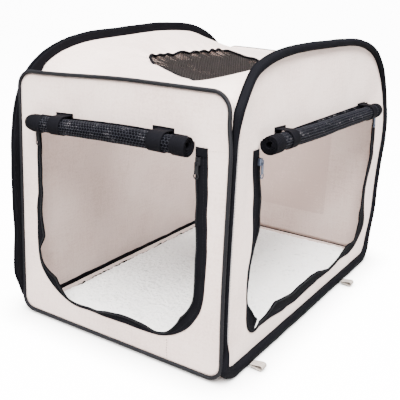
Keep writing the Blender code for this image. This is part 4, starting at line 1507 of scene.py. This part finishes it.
class CRATE_OT_pocket(bpy.types.Operator):
    """Build the storage pocket on the back wall, with its hem and stitching"""

    bl_idname = "crate.pocket"
    bl_label = "Back pocket"

    def execute(self, context):
        half, top = POCKET_WIDTH / 2, POCKET_BOTTOM + POCKET_HEIGHT
        across = np.linspace(-half, half, 70)
        up = np.linspace(POCKET_BOTTOM, top, 76)
        height, along = np.meshgrid(up, across, indexing="ij")
        share_x, share_z = np.abs(along) / half, (height - POCKET_BOTTOM) / POCKET_HEIGHT
        belly = (1 - share_x**3) * smooth(share_z * 1.2) * 0.0035
        nip = np.where(share_z < 0.06, POCKET_CORNER * (1 - share_z / 0.06) * 0.3 * share_x**12, 0)
        out = CLEAR + FABRIC / 2 + belly + wall_out("back", along, height)
        out = out + 0.0006 * fbm(np.stack([along, height], -1), 0.05, 9, 2) * (1 - share_x**4)
        grid = on_face("back", along * (1 - nip), out, height)
        item = grid_piece("pocket", grid, panel_cloth(), np.stack([along, height], -1))
        thicken(item, FABRIC * 0.8)
        settle(item, "crate", ["back_pocket"], folds=True)
        hem = on_face("back", along[-1], out[-1] + 0.0012, height[-1] - 0.004)
        outward = outward_from("back")
        flat = [(-0.005, -0.0007), (0.005, -0.0007), (0.005, 0.0007), (-0.005, 0.0007)]
        edge = swept("pocket_hem", hem, flat, black_tape(), outward)
        settle(edge, "crate", folds=True)
        side = np.linspace(top - 0.004, POCKET_BOTTOM + 0.004, 60)
        base = np.linspace(-half + 0.004, half - 0.004, 60)
        rows, facing = [], []
        for inside in (False, True):
            for inset in (0.003, 0.008):
                x = half - inset
                across = np.concatenate([np.full(60, -x), base, np.full(60, x)])
                under = np.full(60, POCKET_BOTTOM + inset)
                path = np.stack([across, np.concatenate([side, under, side[::-1]])], 1)
                wall = wall_out("back", path[:, 0], path[:, 1])
                lift = -FABRIC - 0.0001 if inside else CLEAR + FABRIC
                rows.append(along_face("back", path, wall + lift))
                facing.append(-outward if inside else outward)
        sew("pocket_stitches", rows, pale_thread(), facing, "crate", "panel_cloth", True)
        return {"FINISHED"}


def roof_surface(across, along):
    """The roof cloth's middle surface, from its share of the width and its place along."""
    height = roof_height(across, along)
    seam = seam_half(True)
    points = drawn_to_seam(across, along, height, ROOF_EDGE_BLEND, seam)
    points[..., 2] += roof_wrinkle(points[..., 0], along) + window_pucker(points[..., 0], along)
    return stood(points, "roof")


def roof_wrinkle(x, y):
    """Shallow folds in the roof cloth, away from its seams."""
    share = np.abs(x) / side_inner(WALL_HEIGHT)
    inner = down_from(np.abs(y), SHEET_END, 0.06) * down_from(share, 1, 0.25)
    depth = bpy.context.scene.crate_cloth.wrinkle
    return 0.8 * depth * fbm(np.stack([x, 0.5 * y], -1), 0.07, 15, 2) * inner


class CRATE_OT_roof(bpy.types.Operator):
    """Build the sagging roof, its netted window and the window's gathered binding"""

    bl_idname = "crate.roof"
    bl_label = "Roof and window"

    def execute(self, context):
        net = context.scene.crate_net
        hole = window_loop(-PIPING_RADIUS * 0.4)
        scale = side_inner(WALL_HEIGHT)
        share = hole[:, 0] / side_inner(roof_over(hole[:, 0], hole[:, 1]))
        hole_u = np.stack([share * scale, hole[:, 1]], 1)
        corners = [(x * scale, y * SHEET_END) for x in (-1, 1) for y in (-1, 1)]
        outer = np.array(corners)[[0, 2, 3, 1]]
        plane = ring_grid(hole_u, outer, (0, WINDOW_SETBACK), 34, 560, corners)
        across, along = plane[..., 0] / scale, plane[..., 1]
        grid = roof_surface(np.clip(across, -1, 1), along)
        roof = grid_piece("roof_cloth", grid, panel_cloth(), plane, False, True)
        thicken(roof, FABRIC)
        settle(roof, "crate", ["roof_panel"], folds=True)

        loop = window_loop(0.0008)
        height = self.over(loop[:, 0], loop[:, 1])
        line = np.c_[loop, height]
        bead = circle(1.0, 12) * (0.0036, 0.0022)
        edge = swept("window_edge", line, bead, black_tape(), (0, 0, 1), True)
        settle(edge, "crate", ["roof_window_binding"], folds=True)
        row = window_loop(-0.0052, STITCH_STEPS)
        spots = np.c_[row, self.over(row[:, 0], row[:, 1]) + FABRIC / 2 + 0.0001]
        name, thread = "window_stitches", black_thread()
        sew(name, [spots], thread, [(0, 0, 1)], "crate", "black_cloth", True, closed=True)

        drop = PIPING_RADIUS + 0.0014
        width = 2 * (WINDOW_HALF_WIDTH + WINDOW_LAP) + WINDOW_WIDER
        length = 2 * (WINDOW_HALF_LENGTH + WINDOW_LAP) + WINDOW_NEARER
        middle_x, middle_y = WINDOW_WIDER / 2, WINDOW_SETBACK - WINDOW_NEARER / 2
        xs = np.linspace(-width / 2 - 0.01, width / 2 + 0.01, 120)
        ys = np.linspace(-length / 2 - 0.01, length / 2 + 0.01, 160)
        table = self.over(*np.meshgrid(xs + middle_x, ys + middle_y, indexing="ij")) - drop
        folds = fbm(np.stack(np.meshgrid(xs, 0.5 * ys, indexing="ij"), -1), 0.035, 31, 2)
        table = table - 0.0006 * np.abs(folds)

        def place(x, y):
            """A place on the net, its height read between the table's four nearest."""
            i, j = (x - xs[0]) / (xs[1] - xs[0]), (y - ys[0]) / (ys[1] - ys[0])
            i0, j0 = int(i), int(j)
            a, b = i - i0, j - j0
            z = (
                table[i0, j0] * (1 - a) * (1 - b)
                + table[i0 + 1, j0] * a * (1 - b)
                + table[i0, j0 + 1] * (1 - a) * b
                + table[i0 + 1, j0 + 1] * a * b
            )
            return Vector((x + middle_x, y + middle_y, z))

        strands = net_strands("window net")
        mesh = hexagon_net("roof_net", place, width, length, net.cell, net.strand, strands)
        settle(mesh, "crate", ["roof_window_mesh"], folds=True)
        return {"FINISHED"}

    def over(self, x, y):
        return roof_over(x, y) + window_pucker(x, y) + roof_wrinkle(x, y)


class CRATE_OT_floor(bpy.types.Operator):
    """Build the floor cloth"""

    bl_idname = "crate.floor"
    bl_label = "Floor"

    def execute(self, context):
        across = np.concatenate([np.linspace(0, 0.9, 14)[:-1], np.linspace(0.9, 1, 14)])
        across = np.concatenate([-across[:0:-1], across])
        along = np.linspace(-SHEET_END, SHEET_END, 110)
        along, across = np.meshgrid(along, across, indexing="ij")
        rise = np.maximum(0, (np.abs(across) - (1 - FLOOR_RIM)) / FLOOR_RIM)
        height = FABRIC / 2 + (hoop_low(along) - FABRIC / 2) * rise**2
        grid = drawn_to_seam(across, along, height, FLOOR_EDGE_BLEND, seam_half(False))
        grid = stood(grid, "floor")
        item = grid_piece("floor_cloth", grid, panel_cloth(), np.stack([grid[..., 0], along], -1))
        thicken(item, FABRIC)
        settle(item, "crate", ["floor_panel"], folds=True)
        return {"FINISHED"}


def mat_outline(count):
    """The backing's half width, half length and outline."""
    half, length = side_inner(0) - MAT_SIDE_GAP, DEPTH / 2 - MAT_END_GAP
    loop = rounded_rectangle(-half, half, -length, length, MAT_CORNER, MAT_CORNER)
    return half, length, resampled(loop, count, True)


def mat_shape():
    """The pad before it swells: a rounded slab with drawn-in sides."""
    half = side_inner(0) - MAT_SIDE_GAP - MAT_DRAW_IN
    length = DEPTH / 2 - MAT_END_GAP - MAT_DRAW_IN
    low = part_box("fleece_mat")[0].z
    shape = bmesh.new()
    bmesh.ops.create_grid(shape, x_segments=24, y_segments=36, size=1)
    for vertex in shape.verts:
        across, along = vertex.co.x, vertex.co.y
        nip = MAT_CORNER * 0.35 * across**8 * along**8
        crown = MAT_CROWN * (1 - across**4) * (1 - along**4)
        reach = MAT_BACK_REACH * (along > 0)
        vertex.co = (
            across * (half - MAT_DRAW_IN * (1 - along**4) - nip),
            along * (length - MAT_DRAW_IN * (1 - across**4) - nip + reach),
            low + MAT_EDGE + crown,
        )
    border = [edge for edge in shape.edges if edge.is_boundary]
    grown = bmesh.ops.extrude_edge_only(shape, edges=border)["geom"]
    for vertex in (item for item in grown if isinstance(item, bmesh.types.BMVert)):
        vertex.co.z = low
    bmesh.ops.contextual_create(shape, geom=[edge for edge in shape.edges if edge.is_boundary])
    bmesh.ops.recalc_face_normals(shape, faces=shape.faces)
    mesh = bpy.data.meshes.new("fleece")
    shape.to_mesh(mesh)
    shape.free()
    return mesh


def move_to(item, points):
    item.data.vertices.foreach_set("co", points.astype(np.float32).ravel())


def activate(item):
    bpy.context.view_layer.update()
    for other in bpy.context.selected_objects:
        other.select_set(False)
    item.select_set(True)
    bpy.context.view_layer.objects.active = item


def swell(item, pressure, cap):
    """Blow the pad up a little by cloth simulation, so that its sides and crown are soft."""
    start = np.array([v.co for v in item.data.vertices])
    cloth = item.modifiers.new("stuffing", "CLOTH")
    settings = cloth.settings
    settings.use_pressure = True
    settings.uniform_pressure_force = pressure
    settings.effector_weights.gravity = 0
    settings.quality = 5
    settings.mass = 0.4
    settings.tension_stiffness = settings.compression_stiffness = 25
    settings.bending_stiffness = 1.5
    cloth.point_cache.frame_start, cloth.point_cache.frame_end = 1, SWELL_STEPS
    scene = bpy.context.scene
    for step in range(1, SWELL_STEPS + 1):
        scene.frame_set(step)
    graph = bpy.context.evaluated_depsgraph_get()
    moved = np.array([v.co for v in item.evaluated_get(graph).data.vertices])
    item.modifiers.clear()
    scene.frame_set(1)
    change = moved - start
    away = np.linalg.norm(change, axis=1)
    change *= np.minimum(1, cap / np.maximum(away, 1e-9))[:, None]
    return start + change


class CRATE_OT_mat(bpy.types.Operator):
    """Build the fleece mat by cloth simulation, raise its pile and add its black backing"""

    bl_idname = "crate.mat"
    bl_label = "Fleece mat"

    def execute(self, context):
        settings = context.scene.crate_mat
        low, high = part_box("fleece_mat")
        item = placed("fleece", mat_shape())
        activate(item)
        remesh = item.modifiers.new("even mesh", "REMESH")
        remesh.mode = "VOXEL"
        remesh.voxel_size = MAT_VOXEL
        apply_modifiers(item)
        points = swell(item, settings.pressure, SWELL_LIMIT)
        move_to(item, points)
        finer = item.modifiers.new("finer", "SUBSURF")
        finer.levels = finer.render_levels = 1
        apply_modifiers(item)
        points = np.array([v.co for v in item.data.vertices])
        normals = np.array([v.normal for v in item.data.vertices])
        tufts, dunes = fbm(points, TUFT_SIZE, 41, 3), fbm(points, DUNE_SIZE, 42, 2)
        rise = settings.pile * (0.55 * np.abs(tufts) ** 0.8 * 1.6 + 0.25 * dunes)
        upper = smooth((points[:, 2] - low.z - 0.002) / 0.004)
        upper = upper * (1 + 1.3 * smooth((np.abs(points[:, 0]) - high.x + 0.016) / 0.010))
        points = points + normals * (rise * upper)[:, None]
        points[:, 2] = np.clip(points[:, 2], low.z, None)
        points[:, 0] = np.clip(points[:, 0], low.x - 0.002, high.x + 0.002)
        move_to(item, points)
        item.data.update()
        item.data.shade_smooth()
        item.data.materials.clear()
        item.data.materials.append(fleece_material())
        settle(item, "mat", ["fleece_mat"], folds=True)

        half, length, loop = mat_outline(600)
        wave = 0.0009 * fbm(loop, 0.045, 45, 2)
        loop = loop + path_normals(loop, True) * (wave[:, None] - 0.0005)
        base_low, base_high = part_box("mat_base")
        middle = (base_low.z + base_high.z) / 2
        plane = ring_grid(None, loop, (0, 0), 12, 480)
        grid = np.concatenate([plane, np.full(plane.shape[:2] + (1,), middle)], -1)
        dark = (0.006, 0.005, 0.005)
        backing = cloth_material("mat backing", dark, 900.0, 1.0, 0.6, 0.0, 0.05)
        base = grid_piece("mat_backing", grid, backing, plane, False, True)
        close_ends_keep_uv(base)
        thicken(base, base_high.z - base_low.z)
        settle(base, "mat", ["mat_base"], folds=True)
        self.rim(middle, backing)
        return {"FINISHED"}

    def rim(self, low, backing):
        """The backing's turned-up edge, which shows as a ragged line beside the fleece."""
        length, loop = mat_outline(700)[1:]
        loop = loop + path_normals(loop, True) * 0.0012
        sides = down_from(np.abs(loop[:, 1]), length - 0.004, 0.02)
        ragged = 0.0085 * fbm(loop, 0.045, 46, 2) + 0.0055 * fbm(loop, 0.009, 47, 1)
        tall = 0.0012 + sides * (0.0010 + 0.6 * ragged).clip(0)
        share = np.linspace(0, 1, 6)[:, None]
        height = low + tall[None] * share
        lean = path_normals(loop, True)[None] * (0.0016 * share[..., None] ** 2)
        grid = np.concatenate([loop[None] + lean, height[..., None]], -1)
        edge = grid_piece("mat_rim", grid, backing, None, False, True)
        thicken(edge, RIM_THICK)
        settle(edge, "mat", folds=True)


def tape_grid(door, wall, top, insets, lift):
    """Points of a strip that follows a doorway, out of its wall, with a fluttering free edge."""
    rows = []
    for inset in insets:
        path = doorway(door, inset, top, TAPE_STEPS)
        share = inset / door["tape"]
        flutter = 0.0016 * up_from(share, 0.3, 0.7) * fbm(path, 0.045, 17, 2)
        flutter *= down_from(path[:, 1], top, 0.05)
        out = wall_out(wall, path[:, 0], path[:, 1]) + lift + np.maximum(flutter, -0.0006)
        rows.append(along_face(wall, path, out))
    return np.array(rows)


class CRATE_OT_zips(bpy.types.Operator):
    """Build the zip tapes round both doorways, with their coils and stitching"""

    bl_idname = "crate.zips"
    bl_label = "Zips"

    def execute(self, context):
        for name, door in DOORS.items():
            wall, top = door["wall"], door["top"]
            insets = np.linspace(0, door["tape"], 9)
            grid = tape_grid(door, wall, top, insets, TAPE_OUT)
            places = strip_places(insets, 1.4, grid.shape[1])
            tape = grid_piece(f"{name}_tape", grid, black_tape(), places)
            thicken(tape, TAPE_THICK)
            settle(tape, door["body"], [f"{name}_zip_tape"], folds=door["folds"])
            self.coil(name, door)
            outward = outward_from(wall)
            rows = tape_grid(door, wall, top, (0.0014, 0.0048), TAPE_OUT + TAPE_THICK / 2 + 0.0001)
            title, thread, body = f"{name}_tape_stitches", black_thread(), door["body"]
            facing = [outward] * 2
            sew(title, rows, thread, facing, body, "black_cloth", door["folds"], radius=0.0003)
        return {"FINISHED"}

    def coil(self, name, door):
        """The zip's coil: a cord whose thickness swells at each of its teeth."""
        inset = door["tape"] - COIL_RADIUS
        closer = [(share, width * min(1, 0.35 + 0.65 * width)) for share, width in door["widths"]]
        door = dict(door, widths=closer)
        width = np.interp(np.linspace(0, 1, TAPE_STEPS), *zip(*closer))
        lift = COIL_OUT * np.clip(width, 0.15, 1)
        line = tape_grid(door, door["wall"], door["top"], (inset,), lift)[0]
        height = doorway(door, inset, door["top"], TAPE_STEPS)[:, 1]
        line = resampled(line[height < door["top"] - END_HEIGHT - CLEAR], 3000)
        teeth = 0.84 + 0.16 * np.cos(np.arange(len(line)) * math.pi / 2)
        outward = outward_from(door["wall"])
        colour, rough = (0.005, 0.005, 0.006), (0.5, 0.7)
        plastic = plain_material("zip plastic", colour, 0.0, rough, 40.0, 2000.0, 0.2, 0.07)
        item = swept(f"{name}_teeth", line, circle(COIL_RADIUS, 7), plastic, outward, grow=teeth)
        settle(item, door["body"], [f"{name}_zip_coil"], folds=door["folds"])


# How long each roll's two bound ends are, and how thick their tips are beside the rest
ROLL_ENDS = {
    "front": ((0.032, 0.55), (0.024, 0.97)),
    "side": ((0.030, 0.97), (0.026, 0.70)),
}


def roll_size(name, along):
    """How thick a roll is along its length, against its usual radius, and how far it sags."""
    start, end = DOORS[name]["roll"]
    spots = np.stack([along, np.zeros_like(along)], -1)
    size = 1 + 0.035 * fbm(spots, 0.04, 51 if name == "front" else 52, 2)
    share = (along - start) / (end - start)
    sag = -0.0012 * np.sin(math.pi * share)
    return size, sag


def roll_lift(name, along):
    """How much higher or lower than drawn each place of a roll hangs."""
    if name == "front":
        return np.zeros_like(along)
    share = (along - DOORS[name]["roll"][0]) / SIDE_ROLL_LENGTH
    return 0.005 * smooth(1 - share * 2.2) - 0.004 * smooth(share * 2 - 1)


def roll_points(name, along, turn, turns, lift=0.0):
    """Points on a door's spiral at places along the roll and turns out from its core."""
    door = DOORS[name]
    size, sag = roll_size(name, along)
    away = ROLL_CORE + (ROLL_RADIUS - ROLL_CORE) * turn / turns
    angle = math.pi + 2 * math.pi * (turns - turn)
    spots = np.stack([along / 2, 0.012 * np.cos(angle), 0.012 * np.sin(angle)], -1)
    lumps = fbm(spots, 0.011, 55, 1)
    away = (away + lift) * size * (1 + 0.03 * lumps)
    out = ROLL_OUT + away * np.cos(angle)
    height = door["top"] + ROLL_RISE + sag + roll_lift(name, along) + away * np.sin(angle)
    return on_face(door["wall"], along, out, height)


class CRATE_OT_rolls(bpy.types.Operator):
    """Build the two netted doors, rolled up above their doorways"""

    bl_idname = "crate.rolls"
    bl_label = "Rolled doors"

    def execute(self, context):
        for name in DOORS:
            self.cloth(name, context.scene.crate_net.turns - 0.2)
            self.netting(name, context.scene.crate_net)
            self.ends(name)
        return {"FINISHED"}

    def cloth(self, name, turns):
        """The rolled layers, wound from the core out and up to the seam on the wall."""
        door = DOORS[name]
        start, end = door["roll"]
        along = np.linspace(start + 0.012, end - 0.012, 60)
        turn = np.linspace(0, turns, int(turns * 30))
        across, wound = np.meshgrid(along, turn, indexing="ij")
        grid = roll_points(name, across, wound, turns)
        last, rise = grid[:, -1:], np.array([0.35, 0.65, 0.85, 1.0]) * SEAM_TOP
        share = np.array([0.15, 0.75, 1.0, 1.0])[None, :, None]
        level = door["top"] + ROLL_RISE + rise[None]
        seam = on_face(door["wall"], along[:, None], 2 * CLEAR + STRAP_THICK + 0.0005, level)
        back = last + (seam - last) * share
        back[..., 2] = seam[..., 2]
        grid = np.concatenate([grid, back], 1)
        item = grid_piece(f"{name}_roll", grid, rolled_net())
        thicken(item, ROLL_THICK)
        settle(item, door["body"], [f"{name}_door_roll"], folds=door["folds"])

    def netting(self, name, net):
        """The outer turn's netting, which stands proud of the layers under it."""
        door, turns = DOORS[name], net.turns - 0.2
        start, end = door["roll"]
        middle, width = (start + end) / 2, end - start - NETTING_MARGIN
        wrap = 2 * math.pi * NETTING_RADIUS

        def place(x, y):
            along, turn = np.array([middle + x]), np.array([turns - 0.5 + y / wrap])
            spot = roll_points(name, along, turn, turns, ROLL_THICK)
            return Vector(spot[0])

        title, strand = f"{name}_netting", net.strand * 0.75
        strands = net_strands("door net")
        item = hexagon_net(title, place, width, wrap * 0.98, net.cell, strand, strands)
        settle(item, door["body"], folds=door["folds"])

    def ends(self, name):
        """The door's bound edges, wound up as a thick ribbed band at each end of the roll."""
        door = DOORS[name]
        for label, tip, way, (length, taper) in zip(
            ("low", "high"), door["roll"], (1, -1), ROLL_ENDS[name]
        ):
            share = np.linspace(0, 1, 22)
            round_tip = np.sqrt(np.clip(1 - (1 - share / 0.62).clip(0) ** 2, 0, 1))
            bevel = taper + (1 - taper) * round_tip
            bevel = bevel * (1 - 0.10 * (share > 0.93))
            turns = ROLL_END_TURNS
            turn = np.linspace(0, turns + 0.05, 170)
            across, wound = np.meshgrid(tip + way * length * share, turn, indexing="ij")
            away = ROLL_END_CORE + (ROLL_END_RADIUS - ROLL_END_CORE) * wound / turns
            away = away * bevel[:, None]
            slip = 0.0016 * fbm(np.stack([turn, turn * 0 + tip], -1), 0.9, 63, 1)
            across = across + slip[None] + way * 0.0012 * (1 - wound / turns)
            centre = door["top"] + ROLL_RISE + roll_lift(name, across)
            angle = math.pi + 2 * math.pi * (turns - wound)
            ridges = 0.00025 * np.sin(across * 2 * math.pi / 0.0042)
            spots = np.stack([across, 0.01 * np.cos(angle), 0.01 * np.sin(angle)], -1)
            away = away * (1 + 0.035 * fbm(spots, 0.014, 61, 1)) + ridges
            out, height = ROLL_OUT + away * np.cos(angle), centre + away * np.sin(angle)
            grid = on_face(door["wall"], across, out, height)
            item = grid_piece(f"{name}_roll_end_{label}", grid, black_tape())
            thicken(item, ROLL_END_THICK)
            settle(item, door["body"], folds=door["folds"])


def strap_path(part, door):
    """Edge-on path of a strap's base behind the roll, or of the strap round its front."""
    height = door["top"] + ROLL_RISE
    if part == "base":
        out = CLEAR + STRAP_THICK / 2
        path = [(out, height + STRAP_TOP), (out, height - 0.3 * STRAP_RADIUS)]
        return resampled(np.vstack([path, arc((ROLL_OUT, height), STRAP_RADIUS, 222, 266, 10)]), 40)
    path = arc((ROLL_OUT, height), STRAP_RADIUS, 273, 450, 40)
    level = height + STRAP_RADIUS
    turn = [(TAB_OUT + 0.0020, level), (TAB_OUT + 0.0004, level + 0.0008)]
    tail = [(TAB_OUT, level + 0.0024), (TAB_OUT, height + STRAP_TOP)]
    return resampled(np.vstack([path, turn, tail]), 70)


class CRATE_OT_straps(bpy.types.Operator):
    """Build the straps that hold the rolled doors, with their tabs and stitching"""

    bl_idname = "crate.straps"
    bl_label = "Straps"

    def execute(self, context):
        for name, door in DOORS.items():
            for label, place in door["straps"].items():
                self.ribbon(name, door, label, place, "base")
                self.ribbon(name, door, label, place, "strap")
                self.tab(name, door, label, place)
        return {"FINISHED"}

    def ribbon(self, name, door, label, place, part):
        """One length of webbing: a strap, or its base behind the roll."""
        path = strap_path(part, door)
        across = np.linspace(-STRAP_WIDTH / 2, STRAP_WIDTH / 2, 9)
        seed = 71 + len(label)
        wave = 0.0006 * fbm(np.c_[path, np.full(len(path), place)], 0.02, seed, 1)
        along = place + across[None, :] * (1 + 0.5 * wave[:, None] / 0.0012 * 0.06)
        height = path[:, 1:] + roll_lift(name, place + across)[None]
        grid = on_face(door["wall"], along, path[:, :1], height)
        title = f"{name}_strap_base_{label}" if part == "base" else f"{name}_strap_{label}"
        body = door["body"] if part == "base" else title
        item = grid_piece(f"{title}_webbing", grid, black_tape())
        thicken(item, STRAP_THICK)
        settle(item, body, [title], folds=door["folds"])

    def tab(self, name, door, label, place):
        """The flat tab at the strap's end."""
        level = door["top"] + ROLL_RISE + STRAP_TOP
        middle = place + door["tab_shift"] / 2
        across = np.linspace(-TAB_WIDTH / 2, TAB_WIDTH / 2, 24) + middle
        up = np.linspace(level - 0.0062, level + 0.0003, 8)
        height, along = np.meshgrid(up, across, indexing="ij")
        out = TAB_OUT + 0.0003 + 0.0004 * fbm(np.stack([along, height], -1), 0.02, 81, 1)
        grid = on_face(door["wall"], along, out, height + roll_lift(name, along))
        item = grid_piece(f"{name}_tab_{label}", grid, black_tape())
        thicken(item, STRAP_THICK + CLEAR)
        settle(item, f"{name}_strap_{label}", folds=door["folds"])


class CRATE_OT_zip_hardware(bpy.types.Operator):
    """Finish the zip ends, sliders and pulls"""

    bl_idname = "crate.zip_hardware"
    bl_label = "Zip hardware"

    def execute(self, context):
        dark, grey = (0.006, 0.006, 0.007), (0.11, 0.135, 0.19)
        black = plain_material("black lacquer", dark, 0.0, (0.45, 0.65), 60.0, 900.0, 0.1, 0.10)
        silver = plain_material("plated metal", grey, 1.0, (0.3, 0.5), 80.0, 1200.0, 0.15)
        places = {"front": ("left", "right"), "side": ("near", "far")}
        for name, labels in places.items():
            metal = black if name == "front" else silver
            for label in labels:
                for part in ("slider", "pull"):
                    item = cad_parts[f"{name}_zip_{part}_{label}"]
                    item.material_slots[0].material = metal
                    soften(item, 0.00035)
                self.end(name, label)
        return {"FINISHED"}

    def end(self, name, label):
        """The zip tape's folded end."""
        title = f"{name}_zip_end_{label}"
        low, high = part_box(title)
        wall = DOORS[name]["wall"]
        turned = np.linalg.inv(FACES[wall])
        spot = turned @ np.array([*((low + high) / 2), 1.0])
        shifts = DOORS[name]["shifts"]
        moved = shifts[0][1] if label in ("left", "near") else -shifts[-1][1]
        across = np.linspace(-END_WIDTH / 2, END_WIDTH / 2, 14) + spot[0] + moved
        up = np.linspace(-END_HEIGHT / 2, END_HEIGHT / 2, 14) + spot[2]
        height, along = np.meshgrid(up, across, indexing="ij")
        out = -spot[1] + 0.0002 * fbm(np.stack([along, height], -1), 0.01, 83, 1)
        item = grid_piece(f"{title}_tape", on_face(wall, along, out, height), black_tape())
        thicken(item, TAPE_THICK)
        body = title if name == "front" else "right_side"
        settle(item, body, [title])


def soften(item, width):
    """Round the hard edges of a CAD piece without moving it."""
    bevel = item.modifiers.new("worn edges", "BEVEL")
    bevel.width = width
    bevel.segments = 2
    bevel.limit_method = "ANGLE"
    bevel.angle_limit = math.radians(40)


PEG_LOOPS = (("left", "front"), ("left", "back"), ("right", "front"), ("right", "back"))


class CRATE_OT_peg_loops(bpy.types.Operator):
    """Build the four webbing loops for ground pegs"""

    bl_idname = "crate.peg_loops"
    bl_label = "Peg loops"

    def execute(self, context):
        webbing = tape_material("pale webbing", (0.30, 0.265, 0.235), 520.0, (0.6, 0.8), 0.8)
        for side, end in PEG_LOOPS:
            title = f"{side}_peg_loop_{end}"
            low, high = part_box(title)
            way = -1 if side == "left" else 1
            radius = (high.z - low.z) / 2 - LOOP_THICK / 2
            root = (low.x if way > 0 else high.x) + way * 0.0014
            tip = (high.x if way > 0 else low.x) - way * (radius + LOOP_THICK / 2)
            level = (low.z + high.z) / 2
            upper = np.linspace(level + LOOP_PINCH, level + radius, 14)
            top = np.stack([np.linspace(root, tip, 14), upper], 1)
            bend = arc((tip, level), radius, 90, -90, 14)
            if way < 0:
                bend[:, 0] = 2 * tip - bend[:, 0]
            lower = np.linspace(level - radius, level - LOOP_PINCH, 14)
            under = np.stack([np.linspace(tip, root, 14), lower], 1)
            path = resampled(np.vstack([top, bend[1:-1], under]), 60)
            across = np.linspace(low.y, high.y, 9)
            outline = path[:, None, 0], across[None], path[:, None, 1]
            grid = np.stack(np.broadcast_arrays(*outline), -1)
            item = grid_piece(f"{title}_webbing", grid, webbing)
            thicken(item, LOOP_THICK)
            settle(item, title, [title])
        return {"FINISHED"}


class CRATE_OT_stage(bpy.types.Operator):
    """Set the camera, the pale floor and the soft studio light"""

    bl_idname = "crate.stage"
    bl_label = "Stage"

    def execute(self, context):
        scene, stage = context.scene, context.scene.crate_stage
        self.camera(scene)
        self.backdrop(stage)
        world = bpy.data.worlds.new("studio")
        world.use_nodes = True
        backing = world.node_tree.nodes["Background"]
        preset(backing, Color=(1, 1, 1, 1), Strength=WORLD_LIGHT * stage.light)
        scene.world = world
        for name, place, size, power in LAMPS:
            self.lamp(name, place, size, power * stage.light)
        return {"FINISHED"}

    def camera(self, scene):
        """The camera stands where the photograph's perspective puts it."""
        yaw, pitch, roll = CAMERA_YAW, CAMERA_PITCH, CAMERA_ROLL
        level = math.cos(pitch)
        ahead = Vector((math.sin(yaw) * level, math.cos(yaw) * level, -math.sin(pitch)))
        right = Vector((math.cos(yaw), -math.sin(yaw), 0))
        down = ahead.cross(right)
        rolled = right * math.cos(roll) + down * math.sin(roll)
        lower = down * math.cos(roll) - right * math.sin(roll)
        data = bpy.data.cameras.new("photograph view")
        data.sensor_width, data.lens = SENSOR, LENS
        data.clip_end = 100.0
        item = placed("photograph_view", data)
        turn = Matrix((rolled, -lower, -ahead)).transposed().to_4x4()
        item.matrix_world = Matrix.Translation(CAMERA_PLACE) @ turn
        scene.camera = item

    def backdrop(self, stage):
        material, tree, shader = new_material("pale floor", roughness=0.6, specular=0.3)
        colour = tuple(stage.floor_colour)
        places = frame_places(tree)
        tone = place_group(tree, tone_group(), places, Patches_per_metre=1.5)
        stops = [(0.0, scaled(colour, 0.985)), (1.0, colour)]
        colour_by(tree, shader, tone.outputs["Patches"], stops)
        seen = node(tree, "ShaderNodeLightPath")
        # Ambient occlusion dims the camera-only glow close to the crate: a painted contact shadow
        # on the floor.
        shade = node(tree, "ShaderNodeAmbientOcclusion", samples=8)
        preset(shade, Distance=0.07)
        near = math_node(tree, "POWER", shade.outputs["AO"], 2.0)
        glow = times(tree, seen.outputs["Is Camera Ray"], near)
        glow = times(tree, glow, stage.white)
        preset(shader, Emission_Color=(1, 1, 1, 1))
        tree.links.new(glow, shader.inputs["Emission Strength"])
        bend = arc((5.0, 2.0), 2.0, 270, 360, 16)
        profile = np.vstack([[(-6.0, 0.0)], bend, [(7.0, 6.0)]])
        across = np.linspace(-9, 9, 5)
        sweep = across[None], profile[:, None, 0], profile[:, None, 1] - 0.0002
        grid = np.stack(np.broadcast_arrays(*sweep), -1)
        item = grid_piece("floor_sweep", grid, material)

    def lamp(self, name, place, size, power):
        """A soft round lamp, aimed at the crate's middle."""
        data = bpy.data.lights.new(name, "AREA")
        data.shape = "DISK"
        data.size = size
        data.energy = power
        item = placed(f"{name}_light", data)
        item.location = place
        item.rotation_euler = (LAMP_AIM - Vector(place)).to_track_quat("-Z", "Y").to_euler()


class CRATE_PT_panel(bpy.types.Panel):
    """Lists the crate's steps and settings"""

    bl_idname = "CRATE_PT_panel"
    bl_label = "Dog crate"
    bl_space_type = "VIEW_3D"
    bl_region_type = "UI"
    bl_category = "Dog crate"

    def draw(self, context):
        layout = self.layout
        for key, group in GROUPS.items():
            box = layout.box()
            for label in group.__annotations__:
                box.prop(getattr(context.scene, key), label)
        for operator in OPERATORS:
            layout.operator(operator.bl_idname)


OPERATORS = (
    CRATE_OT_stage,
    CRATE_OT_side_walls,
    CRATE_OT_hoops,
    CRATE_OT_end_walls,
    CRATE_OT_pocket,
    CRATE_OT_roof,
    CRATE_OT_floor,
    CRATE_OT_mat,
    CRATE_OT_zips,
    CRATE_OT_rolls,
    CRATE_OT_straps,
    CRATE_OT_zip_hardware,
    CRATE_OT_peg_loops,
)


CLASSES = (*GROUPS.values(), *OPERATORS, CRATE_PT_panel)


def register():
    for part in CLASSES:
        bpy.utils.register_class(part)
    for key, group in GROUPS.items():
        setattr(bpy.types.Scene, key, PointerProperty(type=group))


def unregister():
    for key in GROUPS:
        delattr(bpy.types.Scene, key)
    for part in reversed(CLASSES):
        bpy.utils.unregister_class(part)


def main():
    """Register the add-on and run its steps in order."""
    register()
    for operator in OPERATORS:
        step = operator.bl_idname.split(".")[1]
        getattr(bpy.ops.crate, step)()


if __name__ == "__main__":
    main()
